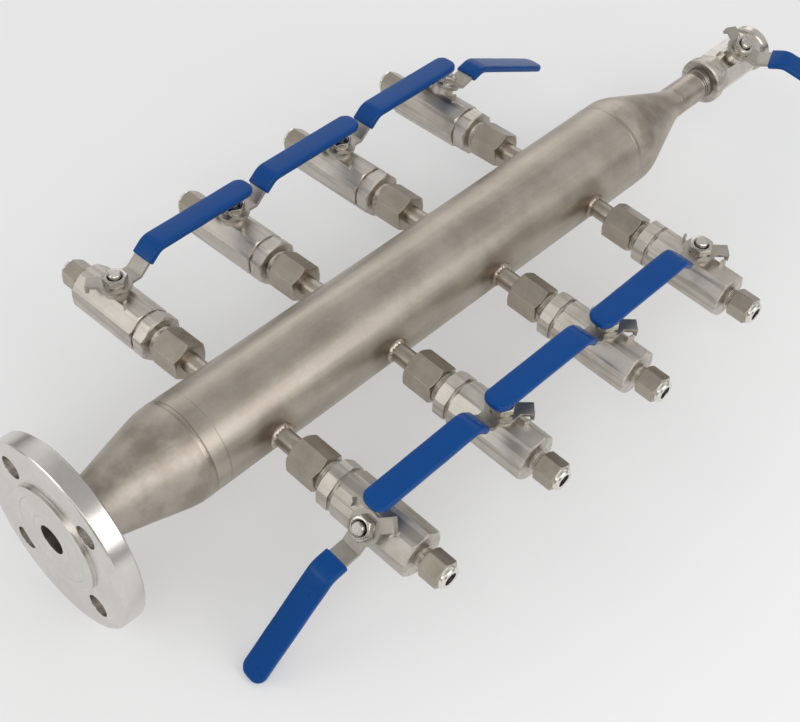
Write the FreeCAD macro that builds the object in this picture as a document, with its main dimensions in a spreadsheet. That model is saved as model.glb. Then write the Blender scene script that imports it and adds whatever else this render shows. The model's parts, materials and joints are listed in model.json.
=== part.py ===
import FreeCAD, Part
import os
import re
import Sketcher

# Air manifold splitter: a pipe header with an inlet flange, eight valved outlets and a drain valve.
# Millimetres. X runs from the inlet face along the header, Z is up, the front outlets point to -Y.
# Each valve is drawn in its own frame: ball centre at the origin, X outward, Z along the stem.

os.makedirs("parts", exist_ok=True)
doc = FreeCAD.newDocument("AirManifoldSplitter")
sheet = doc.addObject("Spreadsheet::Sheet", "Sizes")

# Driving dimensions
SIZES = [
    ("header_diameter", 60.3, "outside diameter of the header pipe"),
    ("header_wall", 2.8, "wall of the header pipe"),
    ("first_outlet", 47.5, "header end to the first outlet"),
    ("outlet_pitch", 91, "spacing of the outlets along the header"),
    ("flange_diameter", 115, "outside diameter of the inlet flange"),
    ("flange_thickness", 14, "flange with its raised face"),
    ("face_height", 2, "height of the raised face"),
    ("face_diameter", 65, "diameter of the raised face"),
    ("flange_bore", 18, "bore of the inlet flange"),
    ("bolt_circle", 85, "pitch circle of the flange bolts"),
    ("bolt_hole", 14, "diameter of each bolt hole"),
    ("bolt_count", 4, "bolt holes in the flange"),
    ("rim_chamfer", 0.8, "chamfer on the flange rim"),
    ("reducer_length", 70, "length of the inlet reducer"),
    ("reducer_end", 33.7, "small end of the inlet reducer"),
    ("reducer_wall", 3.2, "wall of both reducers"),
    ("reducer_collar", 7, "straight length at each end of a reducer"),
    ("drain_reducer_length", 71, "length of the drain reducer"),
    ("nipple_diameter", 21.3, "outside diameter of the drain nipple"),
    ("nipple_wall", 2.7, "wall of the drain nipple"),
    ("nipple_exposed", 36.5, "nipple between the reducer and the drain valve"),
    ("nipple_engagement", 12, "nipple thread inside the drain valve"),
    ("nipple_thread", 16, "length of the nipple thread"),
    ("bead_height", 0.8, "how far a weld bead stands proud"),
    ("bead_width", 4, "width of a weld bead"),
    ("stub_bead", 2, "width of the bead round an outlet stub"),
    ("ball_reach", 109, "header axis to the ball centre of an outlet valve"),
    ("droop_angle", 2.25, "how far the outlets point below level"),
    ("stub_diameter", 12, "tube between the header and a valve"),
    ("stub_wall", 1.5, "wall of that tube"),
    ("socket_depth", 12, "depth of the stub tube in the end cap"),
    ("fit_clearance", 0.06, "radial clearance where one piece sits in another"),
    ("running_clearance", 0.05, "radial clearance round a turning piece"),
    ("inlet_nut_flats", 22, "across flats of an inlet nut"),
    ("inlet_nut_length", 21.5, "length of an inlet nut"),
    ("inlet_nut_gap", 4.5, "thread seen between the inlet nut and the end cap"),
    ("inlet_nut_lip", 4, "length of the inlet nut's tube hole"),
    ("inlet_nut_chamfer", 1.2, "length of the chamfer at each end of an inlet nut"),
    ("cap_thread", 19, "outside diameter of the end cap thread"),
    ("cap_thread_length", 17, "length of the end cap thread"),
    ("cap_shoulder", 10.5, "length of the end cap shoulder"),
    ("cap_chamfer", 1, "length of the chamfer behind the end cap shoulder"),
    ("cap_cone", 0.9, "countersink in the end cap that takes the ferrule"),
    ("cap_groove", 1.2, "depth of the groove between the end cap and the barrel"),
    ("cap_groove_width", 2, "width of that groove"),
    ("thread_pitch", 1.25, "spacing of the thread ridges"),
    ("thread_depth", 0.65, "depth of the thread ridges"),
    ("thread_chamfer", 0.7, "chamfer at the end of a thread"),
    ("spigot_diameter", 18, "end cap spigot that screws into the barrel"),
    ("flow_bore", 7.6, "bore through a valve"),
    ("barrel_back", 27.5, "ball centre to the back of the barrel"),
    ("barrel_front", 27.4, "ball centre to the front of the barrel"),
    ("barrel_flats", 28, "across flats of the eight-sided barrel and its end cap"),
    ("barrel_corners", 30.1, "diameter over the rounded barrel corners"),
    ("barrel_chamfer", 1, "length of the chamfer at the barrel ends"),
    ("cavity_diameter", 17, "room round the ball"),
    ("collar_room", 0.4, "room between the stem collar and the end cap"),
    ("neck_thread", 12.7, "outside diameter of the outlet thread"),
    ("neck_length", 12.6, "length of the outlet thread"),
    ("neck_cone", 0.7, "countersink in the outlet neck that takes the ferrule"),
    ("outlet_tube", 8, "tube that an outlet takes"),
    ("outlet_socket", 7, "depth of the tube socket in the outlet neck"),
    ("outlet_nut_flats", 16, "across flats of an outlet nut"),
    ("outlet_nut_gap", 4.2, "thread seen between the barrel and the outlet nut"),
    ("outlet_nut_length", 13, "length of the outlet nut's six flats"),
    ("outlet_nut_collar", 2.9, "length of the round collar on an outlet nut"),
    ("outlet_collar", 14, "diameter of that collar"),
    ("outlet_nut_chamfer", 0.8, "length of the chamfer at each end of an outlet nut"),
    ("collar_chamfer", 1, "chamfer at the end of that collar"),
    ("ferrule_wall", 0.5, "wall of a ferrule at its thin end"),
    ("ferrule_height", 1.6, "height of a ferrule at its thick end"),
    ("ferrule_gap", 0.2, "gap between a ferrule and the faces round it"),
    ("outlet_nut_angle", 4, "turn of an outlet nut about its tube"),
    ("ball_diameter", 15, "diameter of a valve ball"),
    ("seat_gap", 0.06, "clearance between a ball and its seats"),
    ("seat_outer", 14.8, "outside diameter of a seat"),
    ("seat_bore", 8.4, "bore of a seat"),
    ("seat_front", 4.6, "ball centre to the near face of a seat"),
    ("seat_back", 8.6, "ball centre to the back of a seat"),
    ("stem_diameter", 8, "diameter of a stem"),
    ("stem_collar", 10.6, "diameter of the collar that holds the stem in"),
    ("stem_collar_low", 7.8, "height of the underside of that collar"),
    ("stem_collar_height", 1.1, "thickness of that collar"),
    ("pocket_clearance", 0.3, "radial clearance round that collar"),
    ("tang_width", 3.8, "thickness of the tang that turns the ball"),
    ("tang_length", 8.6, "length of the tang across the ball"),
    ("slot_floor", 5, "height of the floor of the ball slot"),
    ("slot_clearance", 0.1, "clearance of the tang in its slot"),
    ("thrust_height", 0.5, "thickness of the thrust washer"),
    ("gland_diameter", 12, "diameter of the packing and the gland ring"),
    ("gland_floor", 13, "height where the packing starts"),
    ("packing_height", 2.6, "height of the packing"),
    ("gland_height", 2.2, "height of the gland ring"),
    ("boss_diameter", 15, "stem boss on the barrel"),
    ("boss_top", 17.8, "height of the stem boss"),
    ("plate_seat", 18.4, "height of the lever plate's underside"),
    ("plate_thickness", 2, "thickness of the lever plate"),
    ("hub_radius", 10, "radius of the plate round the stem"),
    ("hub_end", 14, "stem to the start of the lever's rise"),
    ("rise_end", 29, "stem to the end of the lever's rise"),
    ("plate_width", 12.6, "width of the lever plate"),
    ("seat_flats", 6, "across the two flats that drive the lever"),
    ("ear_reach", 17.5, "stem to the end of the stop ear"),
    ("ear_width", 8.5, "width of the stop ear"),
    ("ear_angle", 135, "angle from the lever to the stop ear"),
    ("ear_drop", 3, "how far the ear's end is bent down"),
    ("stop_gap", 1.4, "gap between the ear and its stop"),
    ("stop_inner", 13.6, "stem to the near end of a stop"),
    ("stop_outer", 16.2, "stem to the far end of a stop"),
    ("stop_width", 2.6, "width of a stop"),
    ("stop_top", 18, "height of a stop"),
    ("grip_start", 21.5, "stem to the mouth of the grip"),
    ("tip_gap", 8.5, "tip of one grip to the mouth of the next"),
    ("tip_wall", 7, "grip beyond the end of the lever plate"),
    ("grip_width", 16.2, "width of the grip"),
    ("grip_thickness", 4.4, "thickness of the grip"),
    ("grip_round", 6.5, "corner radius at the tip of the grip"),
    ("grip_edge", 1.6, "rounding of the grip's long edges"),
    ("knee_outer", 12, "outer radius of the grip's bend"),
    ("knee_inner", 7, "inner radius of the grip's bend"),
    ("stud_diameter", 7.6, "thread on top of a stem"),
    ("stud_top", 27.6, "height of the top of a stem"),
    ("pass_gap", 2.7, "gap between the end of a stem and the grip that passes over it"),
    ("washer_diameter", 13.4, "washer under a handle nut"),
    ("washer_height", 0.8, "thickness of that washer"),
    ("handle_nut_flats", 13, "across flats of a handle nut"),
    ("handle_nut_height", 4.3, "height of a handle nut"),
    ("handle_nut_chamfer", 0.7, "height of the chamfer on a handle nut"),
    ("drain_half", 31.3, "ball centre to either end of the drain valve"),
    ("drain_parting", 17, "ball centre to the joint between the two halves of the drain valve"),
    ("drain_collar", 32, "diameter of the drain valve's end collars"),
    ("drain_collar_length", 7, "length of each end collar"),
    ("drain_chamfer", 1, "chamfer on the rims of those collars"),
    ("nipple_room", 0.5, "room beyond the end of the nipple"),
    ("drain_flats", 27.5, "across flats of the drain valve between its collars"),
    ("drain_thread", 18.6, "bore of the drain outlet thread"),
    ("drain_thread_depth", 14, "depth of the drain outlet thread"),
    ("lean_angle_front_1", -53, "lean of front valve 1 towards +X"),
    ("lean_angle_front_2", -2, "lean of front valve 2"),
    ("lean_angle_front_3", 0, "lean of front valve 3"),
    ("lean_angle_front_4", -1, "lean of front valve 4"),
    ("lean_angle_back_1", 0, "lean of back valve 1 towards +X"),
    ("lean_angle_back_2", 0, "lean of back valve 2"),
    ("lean_angle_back_3", 0, "lean of back valve 3"),
    ("lean_angle_back_4", 26, "lean of back valve 4"),
    ("lean_angle_drain", 26, "lean of the drain valve towards -Y"),
    ("open_angle_drain", 25, "how far the drain valve stands open"),
    ("open_angle_front_1", -4, "how far the lever of front valve 1 stands past square"),
]
for row, (alias, number, note) in enumerate(SIZES, start=1):
    sheet.set(f"A{row}", note)
    sheet.set(f"B{row}", str(number))
    sheet.setAlias(f"B{row}", alias)
doc.recompute()
ALIASES = {alias for alias, number, note in SIZES}
VALVES_PER_ROW = 4
# How far a cutting outline runs past the face that it opens
PAST = 1
# Where a row of thread ridges starts and stops, in pitches
RUN_OUT = 0.2

# Places worked out from the driving dimensions
HEADER_RADIUS = "(header_diameter / 2)"
HEADER_START = "(flange_thickness + reducer_length)"
HEADER_LENGTH = f"(2 * first_outlet + {VALVES_PER_ROW - 1} * outlet_pitch)"
HEADER_END = f"({HEADER_START} + {HEADER_LENGTH})"
DRAIN_START = f"({HEADER_END} + drain_reducer_length)"
DRAIN_BALL = f"({DRAIN_START} + nipple_exposed + drain_half)"
CAP_FRONT = "(-barrel_back - cap_shoulder)"
NUT_FRONT = f"({CAP_FRONT} - inlet_nut_gap)"
NUT_BACK = f"({NUT_FRONT} - inlet_nut_length)"
THREAD_END = f"({CAP_FRONT} - cap_thread_length)"
TUBE_END = f"({THREAD_END} + socket_depth)"
SOCKET_RADIUS = "(stub_diameter / 2 + fit_clearance)"
NECK_END = "(barrel_front + neck_length)"
OUTLET_NUT_BACK = "(barrel_front + outlet_nut_gap)"
OUTLET_HEX_END = f"({OUTLET_NUT_BACK} + outlet_nut_length)"
OUTLET_END = f"({OUTLET_HEX_END} + outlet_nut_collar)"
TUBE_HOLE = "(outlet_tube / 2 + fit_clearance)"
STEM_HOLE = "(stem_diameter / 2 + running_clearance)"
CAVITY_HALF = "(stem_collar / 2 + collar_room)"
THRUST_TOP = "(stem_collar_low + stem_collar_height + thrust_height)"
PLATE_TOP = "(plate_seat + plate_thickness)"
LEVER_HEIGHT = "(stud_top + pass_gap + (grip_thickness - plate_thickness) / 2)"
RISE_ANGLE = f"atan(({LEVER_HEIGHT} - plate_seat) / (rise_end - hub_end))"
HALF_RISE = f"({RISE_ANGLE} / 2)"
GRIP_REACH = "(outlet_pitch + grip_start - tip_gap)"
PLATE_REACH = f"({GRIP_REACH} - tip_wall)"


def formula(text):
    """Point each size named in a formula at its cell."""
    return re.sub(r"[a-z_0-9]*[a-z_][a-z_0-9]*",
                  lambda word: "Sizes." + word[0] if word[0] in ALIASES else word[0], str(text))


def value(text):
    """Work a formula out as a number."""
    return float(sheet.evalExpression(formula(text).replace("Sizes.", "")))


def bind(item, **formulas):
    """Bind properties of an object to formulas; a dot in a property is written as two underscores."""
    for name, text in formulas.items():
        item.setExpression(name.replace("__", "."), formula(text))


# Sketching helpers
def new_body(name):
    """Start an empty body."""
    return doc.addObject("PartDesign::Body", name)


def new_sketch(body, role, lift=None):
    """Add a sketch to one of a body's own origin planes, lifted off it where asked."""
    sketch = body.newObject("Sketcher::SketchObject", body.Name + "Sketch")
    plane = next(item for item in body.Origin.OriginFeatures if item.Role == role)
    sketch.AttachmentSupport = [(plane, "")]
    sketch.MapMode = "FlatFace"
    if lift is not None:
        bind(sketch, AttachmentOffset__Base__z=lift)
    return sketch


def tie(sketch, geometry, point, axis, text):
    """Fix one coordinate of a sketch point, on the axis where the formula is zero."""
    if str(text) == "0":
        across = -2 if axis == "X" else -1
        sketch.addConstraint(Sketcher.Constraint("PointOnObject", geometry, point, across))
        return
    rule = Sketcher.Constraint("Distance" + axis, -1, 1, geometry, point, value(text))
    index = sketch.addConstraint(rule)
    sketch.renameConstraint(index, f"place_{index}")
    bind(sketch, **{f"Constraints__place_{index}": text})


def arc_centre(start, end, given, axis):
    """Find an arc's centre from its ends and one coordinate of the centre."""
    middle = (start + end) / 2
    across = end - start
    if axis == "X":
        return FreeCAD.Vector(given, middle.y - (given - middle.x) * across.x / across.y, 0)
    return FreeCAD.Vector(middle.x - (given - middle.y) * across.y / across.x, given, 0)


def add_arc(sketch, start, end, centre, hollow):
    """Add an arc between two points; a hollow one turns clockwise."""
    circle = Part.Circle(centre, FreeCAD.Vector(0, 0, 1), (start - centre).Length)
    first, last = (end, start) if hollow else (start, end)
    arc = Part.ArcOfCircle(circle, circle.parameter(first), circle.parameter(last))
    return sketch.addGeometry(arc, False)


def add_outline(sketch, corners):
    """Draw a closed outline; a corner is (x, y) or (x, y, "X" or "Y", centre, hollow) to end an arc."""
    points = [FreeCAD.Vector(value(corner[0]), value(corner[1]), 0) for corner in corners]
    edges = []
    for index, corner in enumerate(corners):
        start = points[index - 1]
        end = points[index]
        if len(corner) == 2:
            edges.append((sketch.addGeometry(Part.LineSegment(start, end), False), 1, 2))
            continue
        axis, given, hollow = corner[2:]
        centre = arc_centre(start, end, value(given), axis)
        geometry = add_arc(sketch, start, end, centre, hollow)
        edges.append((geometry, 2, 1) if hollow else (geometry, 1, 2))
    for index, (geometry, head, tail) in enumerate(edges):
        following = edges[(index + 1) % len(edges)]
        sketch.addConstraint(Sketcher.Constraint("Coincident", geometry, tail, following[0], following[1]))
    for (geometry, head, tail), corner in zip(edges, corners):
        tie(sketch, geometry, tail, "X", corner[0])
        tie(sketch, geometry, tail, "Y", corner[1])
        if len(corner) > 2:
            tie(sketch, geometry, 3, corner[2], corner[3])


def add_circle(sketch, across, up, radius):
    """Draw a circle with its centre and radius bound to formulas."""
    centre = FreeCAD.Vector(value(across), value(up), 0)
    circle = Part.Circle(centre, FreeCAD.Vector(0, 0, 1), value(radius))
    geometry = sketch.addGeometry(circle, False)
    tie(sketch, geometry, 3, "X", across)
    tie(sketch, geometry, 3, "Y", up)
    index = sketch.addConstraint(Sketcher.Constraint("Radius", geometry, value(radius)))
    sketch.renameConstraint(index, f"radius_{index}")
    bind(sketch, **{f"Constraints__radius_{index}": radius})


def turn(body, role, corners, axis="H_Axis", cut=False):
    """Revolve an outline round a sketch axis, to add or to cut."""
    sketch = new_sketch(body, role)
    add_outline(sketch, corners)
    kind = "PartDesign::Groove" if cut else "PartDesign::Revolution"
    feature = body.newObject(kind, body.Name + ("Groove" if cut else "Turned"))
    feature.Profile = sketch
    feature.ReferenceAxis = (sketch, [axis])
    feature.Angle = 360
    return feature


def pad(body, sketch, length, midplane=False):
    """Pad a sketch by a formula."""
    feature = body.newObject("PartDesign::Pad", body.Name + "Pad")
    feature.Profile = sketch
    feature.Midplane = midplane
    bind(feature, Length=length)
    return feature


def pocket_through(body, sketch):
    """Cut a sketch through the whole body, both ways from its plane."""
    feature = body.newObject("PartDesign::Pocket", body.Name + "Pocket")
    feature.Profile = sketch
    feature.Type = "ThroughAll"
    feature.Midplane = True
    return feature


def round_edges(body, test, radius, name):
    """Fillet the edges that pass a test."""
    doc.recompute()
    last = body.Tip
    names = [f"Edge{index + 1}" for index, edge in enumerate(last.Shape.Edges) if test(edge)]
    feature = body.newObject("PartDesign::Fillet", name)
    feature.Base = (last, names)
    bind(feature, Radius=radius)
    doc.recompute()
    return feature


def ridges(start, count, radius, way=1):
    """Points of a row of thread ridges along the turning axis."""
    points = []
    for index in range(count):
        points.append((f"{start} + {way * index} * thread_pitch", f"{radius} - thread_depth"))
        points.append((f"{start} + {way * (index + 0.5)} * thread_pitch", radius))
    points.append((f"{start} + {way * count} * thread_pitch", f"{radius} - thread_depth"))
    return points


def primitive(kind, name, **formulas):
    """Make a Part primitive bound to formulas."""
    item = doc.addObject(kind, name)
    bind(item, **formulas)
    return item


def combine(kind, name, items):
    """Fuse or intersect objects."""
    item = doc.addObject(kind, name)
    item.Shapes = items
    return item


def cut(name, base, tool):
    """Cut one object from another."""
    item = doc.addObject("Part::Cut", name)
    item.Base = base
    item.Tool = tool
    return item


def six_sided(name, blank, flats, start, length, axis="X", angle="0"):
    """Give a turned blank six flats, turned about its axis by an angle."""
    prism = primitive("Part::Prism", name + "Prism", Circumradius=f"{flats} / sqrt(3)", Height=length)
    prism.Polygon = 6
    if axis == "X":
        turned = FreeCAD.Rotation(FreeCAD.Vector(0, 0, 1), value(angle))
        prism.Placement.Rotation = FreeCAD.Rotation(FreeCAD.Vector(0, 1, 0), 90).multiply(turned)
        bind(prism, Placement__Base__x=start)
    else:
        bind(prism, Placement__Base__z=start)
    return combine("Part::MultiCommon", name, [prism, blank])


# Pieces along the header
def make_header_pipe():
    """Header pipe with a hole for each outlet stub."""
    body = new_body("header_tube")
    turn(body, "XY_Plane", [
        (HEADER_START, HEADER_RADIUS), (HEADER_START, f"{HEADER_RADIUS} - header_wall"),
        (HEADER_END, f"{HEADER_RADIUS} - header_wall"), (HEADER_END, HEADER_RADIUS)])
    depth = f"{HEADER_RADIUS} + header_wall"
    drill = primitive("Part::Cylinder", "stub_hole", Radius=SOCKET_RADIUS, Height=depth)
    drill.Placement.Rotation = FreeCAD.Rotation(FreeCAD.Vector(0, 1, 0), 90)
    bind(drill, Placement__Base__x="-ball_reach")
    holes = [set_in_place("hole_" + place["name"], [drill], place) for place in outlet_places(0)]
    return cut("header_pipe", body, group("stub_holes", holes))


def make_reducer(name, start, end, start_radius, end_radius):
    """Concentric reducer: two straight collars joined by an S-shaped wall."""
    body = new_body(name)
    first = f"({start} + reducer_collar)"
    last = f"({end} - reducer_collar)"
    middle = f"(({first} + {last}) / 2)"
    rising = value(end_radius) > value(start_radius)
    corners = [(start, start_radius), (first, start_radius)]
    mid_radius = f"(({start_radius} + {end_radius}) / 2)"
    corners += [(middle, mid_radius, "X", first, not rising), (last, end_radius, "X", last, rising)]
    corners += [(end, end_radius), (end, f"{end_radius} - reducer_wall")]
    corners += [(last, f"{end_radius} - reducer_wall")]
    corners += [(middle, f"{mid_radius} - reducer_wall", "X", last, not rising)]
    corners += [(first, f"{start_radius} - reducer_wall", "X", first, rising)]
    corners += [(start, f"{start_radius} - reducer_wall")]
    turn(body, "XY_Plane", corners)
    return body


def make_flange():
    """Inlet flange with a raised face and four bolt holes astride the centre lines."""
    body = new_body("inlet_flange")
    rim = "(flange_diameter / 2)"
    turn(body, "XY_Plane", [
        (0, "flange_bore / 2"), (0, "face_diameter / 2"), ("face_height", "face_diameter / 2"),
        ("face_height", f"{rim} - rim_chamfer"), ("face_height + rim_chamfer", rim),
        ("flange_thickness - rim_chamfer", rim), ("flange_thickness", f"{rim} - rim_chamfer"),
        ("flange_thickness", "flange_bore / 2")])
    sketch = new_sketch(body, "YZ_Plane")
    half_circle = "(bolt_circle / 2)"
    add_circle(sketch, f"{half_circle} * cos(180 / bolt_count)", f"{half_circle} * sin(180 / bolt_count)",
               "bolt_hole / 2")
    hole = pocket_through(body, sketch)
    pattern = body.newObject("PartDesign::PolarPattern", "BoltHoles")
    pattern.Originals = [hole]
    pattern.Axis = (sketch, ["N_Axis"])
    pattern.Angle = 360
    bind(pattern, Occurrences="bolt_count")
    body.Tip = pattern
    return body


def make_nipple():
    """Drain nipple, threaded where it enters the drain valve."""
    body = new_body("drain_nipple")
    outer = "(nipple_diameter / 2)"
    thread_start = f"({DRAIN_START} + nipple_exposed + nipple_engagement - nipple_thread)"
    end = f"{DRAIN_START} + nipple_exposed + nipple_engagement"
    count = int(value("nipple_thread") / value("thread_pitch")) - 1
    turn(body, "XY_Plane", [
        (DRAIN_START, f"{outer} - nipple_wall"), (DRAIN_START, outer), (thread_start, outer)]
        + ridges(f"{thread_start} + {RUN_OUT} * thread_pitch", count, outer)
        + [(end, f"{outer} - thread_depth"), (end, f"{outer} - nipple_wall")])
    return body


def make_weld_beads():
    """Seam beads, and a bead round each outlet stub."""
    beads = []
    for name, place, radius in (("seam_inlet", HEADER_START, HEADER_RADIUS),
                                ("seam_drain", HEADER_END, HEADER_RADIUS),
                                ("seam_nipple", DRAIN_START, "nipple_diameter / 2")):
        body = new_body(name)
        low = f"({place} - bead_width / 2)"
        high = f"({place} + bead_width / 2)"
        crown = f"({radius} + bead_height)"
        turn(body, "XY_Plane", [
            (low, radius), (high, radius), (f"{high} - bead_width / 5", crown),
            (f"{low} + bead_width / 5", crown)])
        beads.append(body)
    neck = new_body("seam_flange")
    small = "(reducer_end / 2)"
    turn(neck, "XY_Plane", [
        ("flange_thickness", small), ("flange_thickness + bead_width", small),
        ("flange_thickness", f"{small} + bead_width")])
    beads.append(neck)
    ring = new_body("stub_ring")
    wide = f"({SOCKET_RADIUS} + stub_bead)"
    foot = f"({HEADER_RADIUS} - header_wall - ball_reach)"
    wall = f"({HEADER_RADIUS} - ball_reach)"
    turn(ring, "XY_Plane", [
        (foot, SOCKET_RADIUS), (f"{wall} + stub_bead", SOCKET_RADIUS), (wall, wide), (foot, wide)])
    pipe = primitive("Part::Cylinder", "stub_ring_pipe", Radius=HEADER_RADIUS, Height="4 * stub_diameter")
    pipe.Placement.Rotation = FreeCAD.Rotation(FreeCAD.Vector(1, 0, 0), 90)
    bind(pipe, Placement__Base__x="-ball_reach", Placement__Base__y="2 * stub_diameter")
    trimmed = cut("stub_bead", ring, pipe)
    for place in outlet_places(0):
        beads.append(set_in_place("bead_" + place["name"], [trimmed], place))
    return group("weld_beads", beads)


# Pieces of one outlet, drawn in the valve's frame
def make_stub():
    """Tube from the header wall into the end cap."""
    body = new_body("stub")
    start = f"({HEADER_RADIUS} - header_wall - ball_reach)"
    inner = "stub_diameter / 2 - stub_wall"
    turn(body, "XY_Plane", [
        (start, inner), (start, "stub_diameter / 2"), (TUBE_END, "stub_diameter / 2"), (TUBE_END, inner)])
    return body


def make_inlet_nut():
    """Large compression nut between the stub and the end cap."""
    blank = new_body("inlet_nut_blank")
    corner = "(inlet_nut_flats / sqrt(3))"
    thread = "(cap_thread / 2 + fit_clearance)"
    cone = f"({NUT_BACK} + inlet_nut_lip)"
    drop = "inlet_nut_chamfer * tan(60)"
    turn(blank, "XY_Plane", [
        (NUT_BACK, SOCKET_RADIUS), (NUT_BACK, f"{corner} - {drop}"),
        (f"{NUT_BACK} + inlet_nut_chamfer", corner), (f"{NUT_FRONT} - inlet_nut_chamfer", corner),
        (NUT_FRONT, f"{corner} - {drop}"), (NUT_FRONT, thread),
        (f"{THREAD_END} - thread_chamfer", thread), (cone, SOCKET_RADIUS)])
    return six_sided("inlet_nut", blank, "inlet_nut_flats", NUT_BACK, "inlet_nut_length")


def make_inlet_ferrule():
    """Ferrule squeezed on the stub between the nut and the end cap."""
    body = new_body("inlet_ferrule")
    inner = "(stub_diameter / 2 + fit_clearance / 2)"
    start = f"({NUT_BACK} + inlet_nut_lip + ferrule_wall + ferrule_gap)"
    end = f"({THREAD_END} - ferrule_gap)"
    turn(body, "XY_Plane", [
        (start, inner), (start, f"{inner} + ferrule_wall"),
        (f"{end} - thread_chamfer", f"{inner} + ferrule_height"), (end, f"{inner} + ferrule_height"),
        (end, inner)])
    return body


def make_end_cap():
    """End cap: compression thread outside, eight-sided shoulder, and the spigot that carries a seat."""
    body = new_body("end_cap_piece")
    thread = "(cap_thread / 2)"
    shoulder = "(barrel_corners / 2)"
    groove = "(barrel_flats / 2 - cap_groove)"
    seat_pocket = "(seat_outer / 2 + fit_clearance)"
    count = int((value("inlet_nut_gap") + value("thread_pitch")) / value("thread_pitch"))
    turn(body, "XY_Plane", [
        (THREAD_END, f"{SOCKET_RADIUS} + cap_cone"), (THREAD_END, f"{thread} - thread_chamfer"),
        (f"{THREAD_END} + thread_chamfer", thread)]
        + ridges(f"({CAP_FRONT} - {count + RUN_OUT} * thread_pitch)", count, thread)
        + [(CAP_FRONT, f"{thread} - thread_depth"), (CAP_FRONT, f"{shoulder} - cap_chamfer * tan(60)"),
           (f"{CAP_FRONT} + cap_chamfer", shoulder), ("-barrel_back - cap_groove_width", shoulder),
           ("-barrel_back - cap_groove_width", groove), ("-barrel_back", groove),
           ("-barrel_back", "spigot_diameter / 2"), (f"-{CAVITY_HALF}", "spigot_diameter / 2"),
           (f"-{CAVITY_HALF}", seat_pocket), ("-seat_back", seat_pocket), ("-seat_back", "flow_bore / 2"),
           (TUBE_END, "flow_bore / 2"), (TUBE_END, SOCKET_RADIUS),
           (f"{THREAD_END} + cap_cone", SOCKET_RADIUS)])
    add_flats(body, "barrel_flats")
    return body


def add_stem_features(body):
    """Stem boss and the two stops that limit the lever."""
    boss = new_sketch(body, "XY_Plane")
    add_circle(boss, 0, 0, "boss_diameter / 2")
    pad(body, boss, "boss_top")
    near = "(ear_width / 2 + stop_gap)"
    for side in (1, -1):
        stop = new_sketch(body, "XY_Plane")
        corners = []
        for reach, down in (("stop_inner", "0"), ("stop_outer", "0"), ("stop_outer", "stop_width"),
                            ("stop_inner", "stop_width")):
            corners.append((f"{side} * ({reach} + {near}) * cos(45)",
                            f"({reach} - {near}) * cos(45) - {down}"))
        add_outline(stop, corners)
        pad(body, stop, "stop_top")


def bore_for_stem(body):
    """Stem hole with its thrust pocket below and its packing pocket above."""
    pocket = "(stem_collar / 2 + pocket_clearance)"
    gland = "(gland_diameter / 2 + fit_clearance)"
    turn(body, "XZ_Plane", [
        (0, 0), (pocket, 0), (pocket, THRUST_TOP), (STEM_HOLE, THRUST_TOP), (STEM_HOLE, "gland_floor"),
        (gland, "gland_floor"), (gland, f"stop_top + {PAST}"), (0, f"stop_top + {PAST}")],
        axis="V_Axis", cut=True)


def bore_for_flow(body, back, front, front_corners):
    """Room for the cap spigot, the ball and the front seat, then the way out."""
    spigot = "(spigot_diameter / 2 + fit_clearance)"
    seat_pocket = "(seat_outer / 2 + fit_clearance)"
    turn(body, "XY_Plane", [
        (f"{back} - {PAST}", 0), (f"{back} - {PAST}", spigot), (f"-{CAVITY_HALF}", spigot),
        (f"-{CAVITY_HALF}", "cavity_diameter / 2"), (CAVITY_HALF, "cavity_diameter / 2"),
        (CAVITY_HALF, seat_pocket), ("seat_back", seat_pocket), ("seat_back", "flow_bore / 2")]
        + front_corners + [(front, 0)], cut=True)


def octagon_corners(flats):
    """Corners of an octagon that stands on a flat."""
    half = f"({flats} / 2)"
    short = f"({half} * tan(22.5))"
    return [(half, f"-{short}"), (half, short), (short, half), (f"-{short}", half), (f"-{half}", short),
            (f"-{half}", f"-{short}"), (f"-{short}", f"-{half}"), (short, f"-{half}")]


def add_flats(body, flats):
    """Trim a round body to eight flats."""
    sketch = new_sketch(body, "YZ_Plane")
    add_outline(sketch, octagon_corners(flats))
    add_circle(sketch, 0, 0, f"{flats}")
    pocket_through(body, sketch)


def make_valve_body():
    """Eight-sided barrel with the stem boss and the threaded outlet neck."""
    body = new_body("valve_body_piece")
    outer = "(barrel_corners / 2)"
    neck = "(neck_thread / 2)"
    count = int((value("outlet_nut_gap") + value("thread_pitch")) / value("thread_pitch"))
    turn(body, "XY_Plane", [
        ("-barrel_back", 0), ("-barrel_back", f"{outer} - barrel_chamfer"),
        ("-barrel_back + barrel_chamfer", outer), ("barrel_front - barrel_chamfer", outer),
        ("barrel_front", f"{outer} - barrel_chamfer * tan(60)"), ("barrel_front", f"{neck} - thread_depth")]
        + ridges(f"(barrel_front + {RUN_OUT} * thread_pitch)", count, neck)
        + [(f"{NECK_END} - thread_chamfer", neck), (NECK_END, f"{neck} - thread_chamfer"), (NECK_END, 0)])
    add_flats(body, "barrel_flats")
    add_stem_features(body)
    bore_for_flow(body, "-barrel_back", f"{NECK_END} + {PAST}", [
        (f"{NECK_END} - outlet_socket", "flow_bore / 2"), (f"{NECK_END} - outlet_socket", TUBE_HOLE),
        (f"{NECK_END} - neck_cone", TUBE_HOLE),
        (f"{NECK_END} + {PAST}", f"{TUBE_HOLE} + neck_cone + {PAST}")])
    bore_for_stem(body)
    return body


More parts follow.
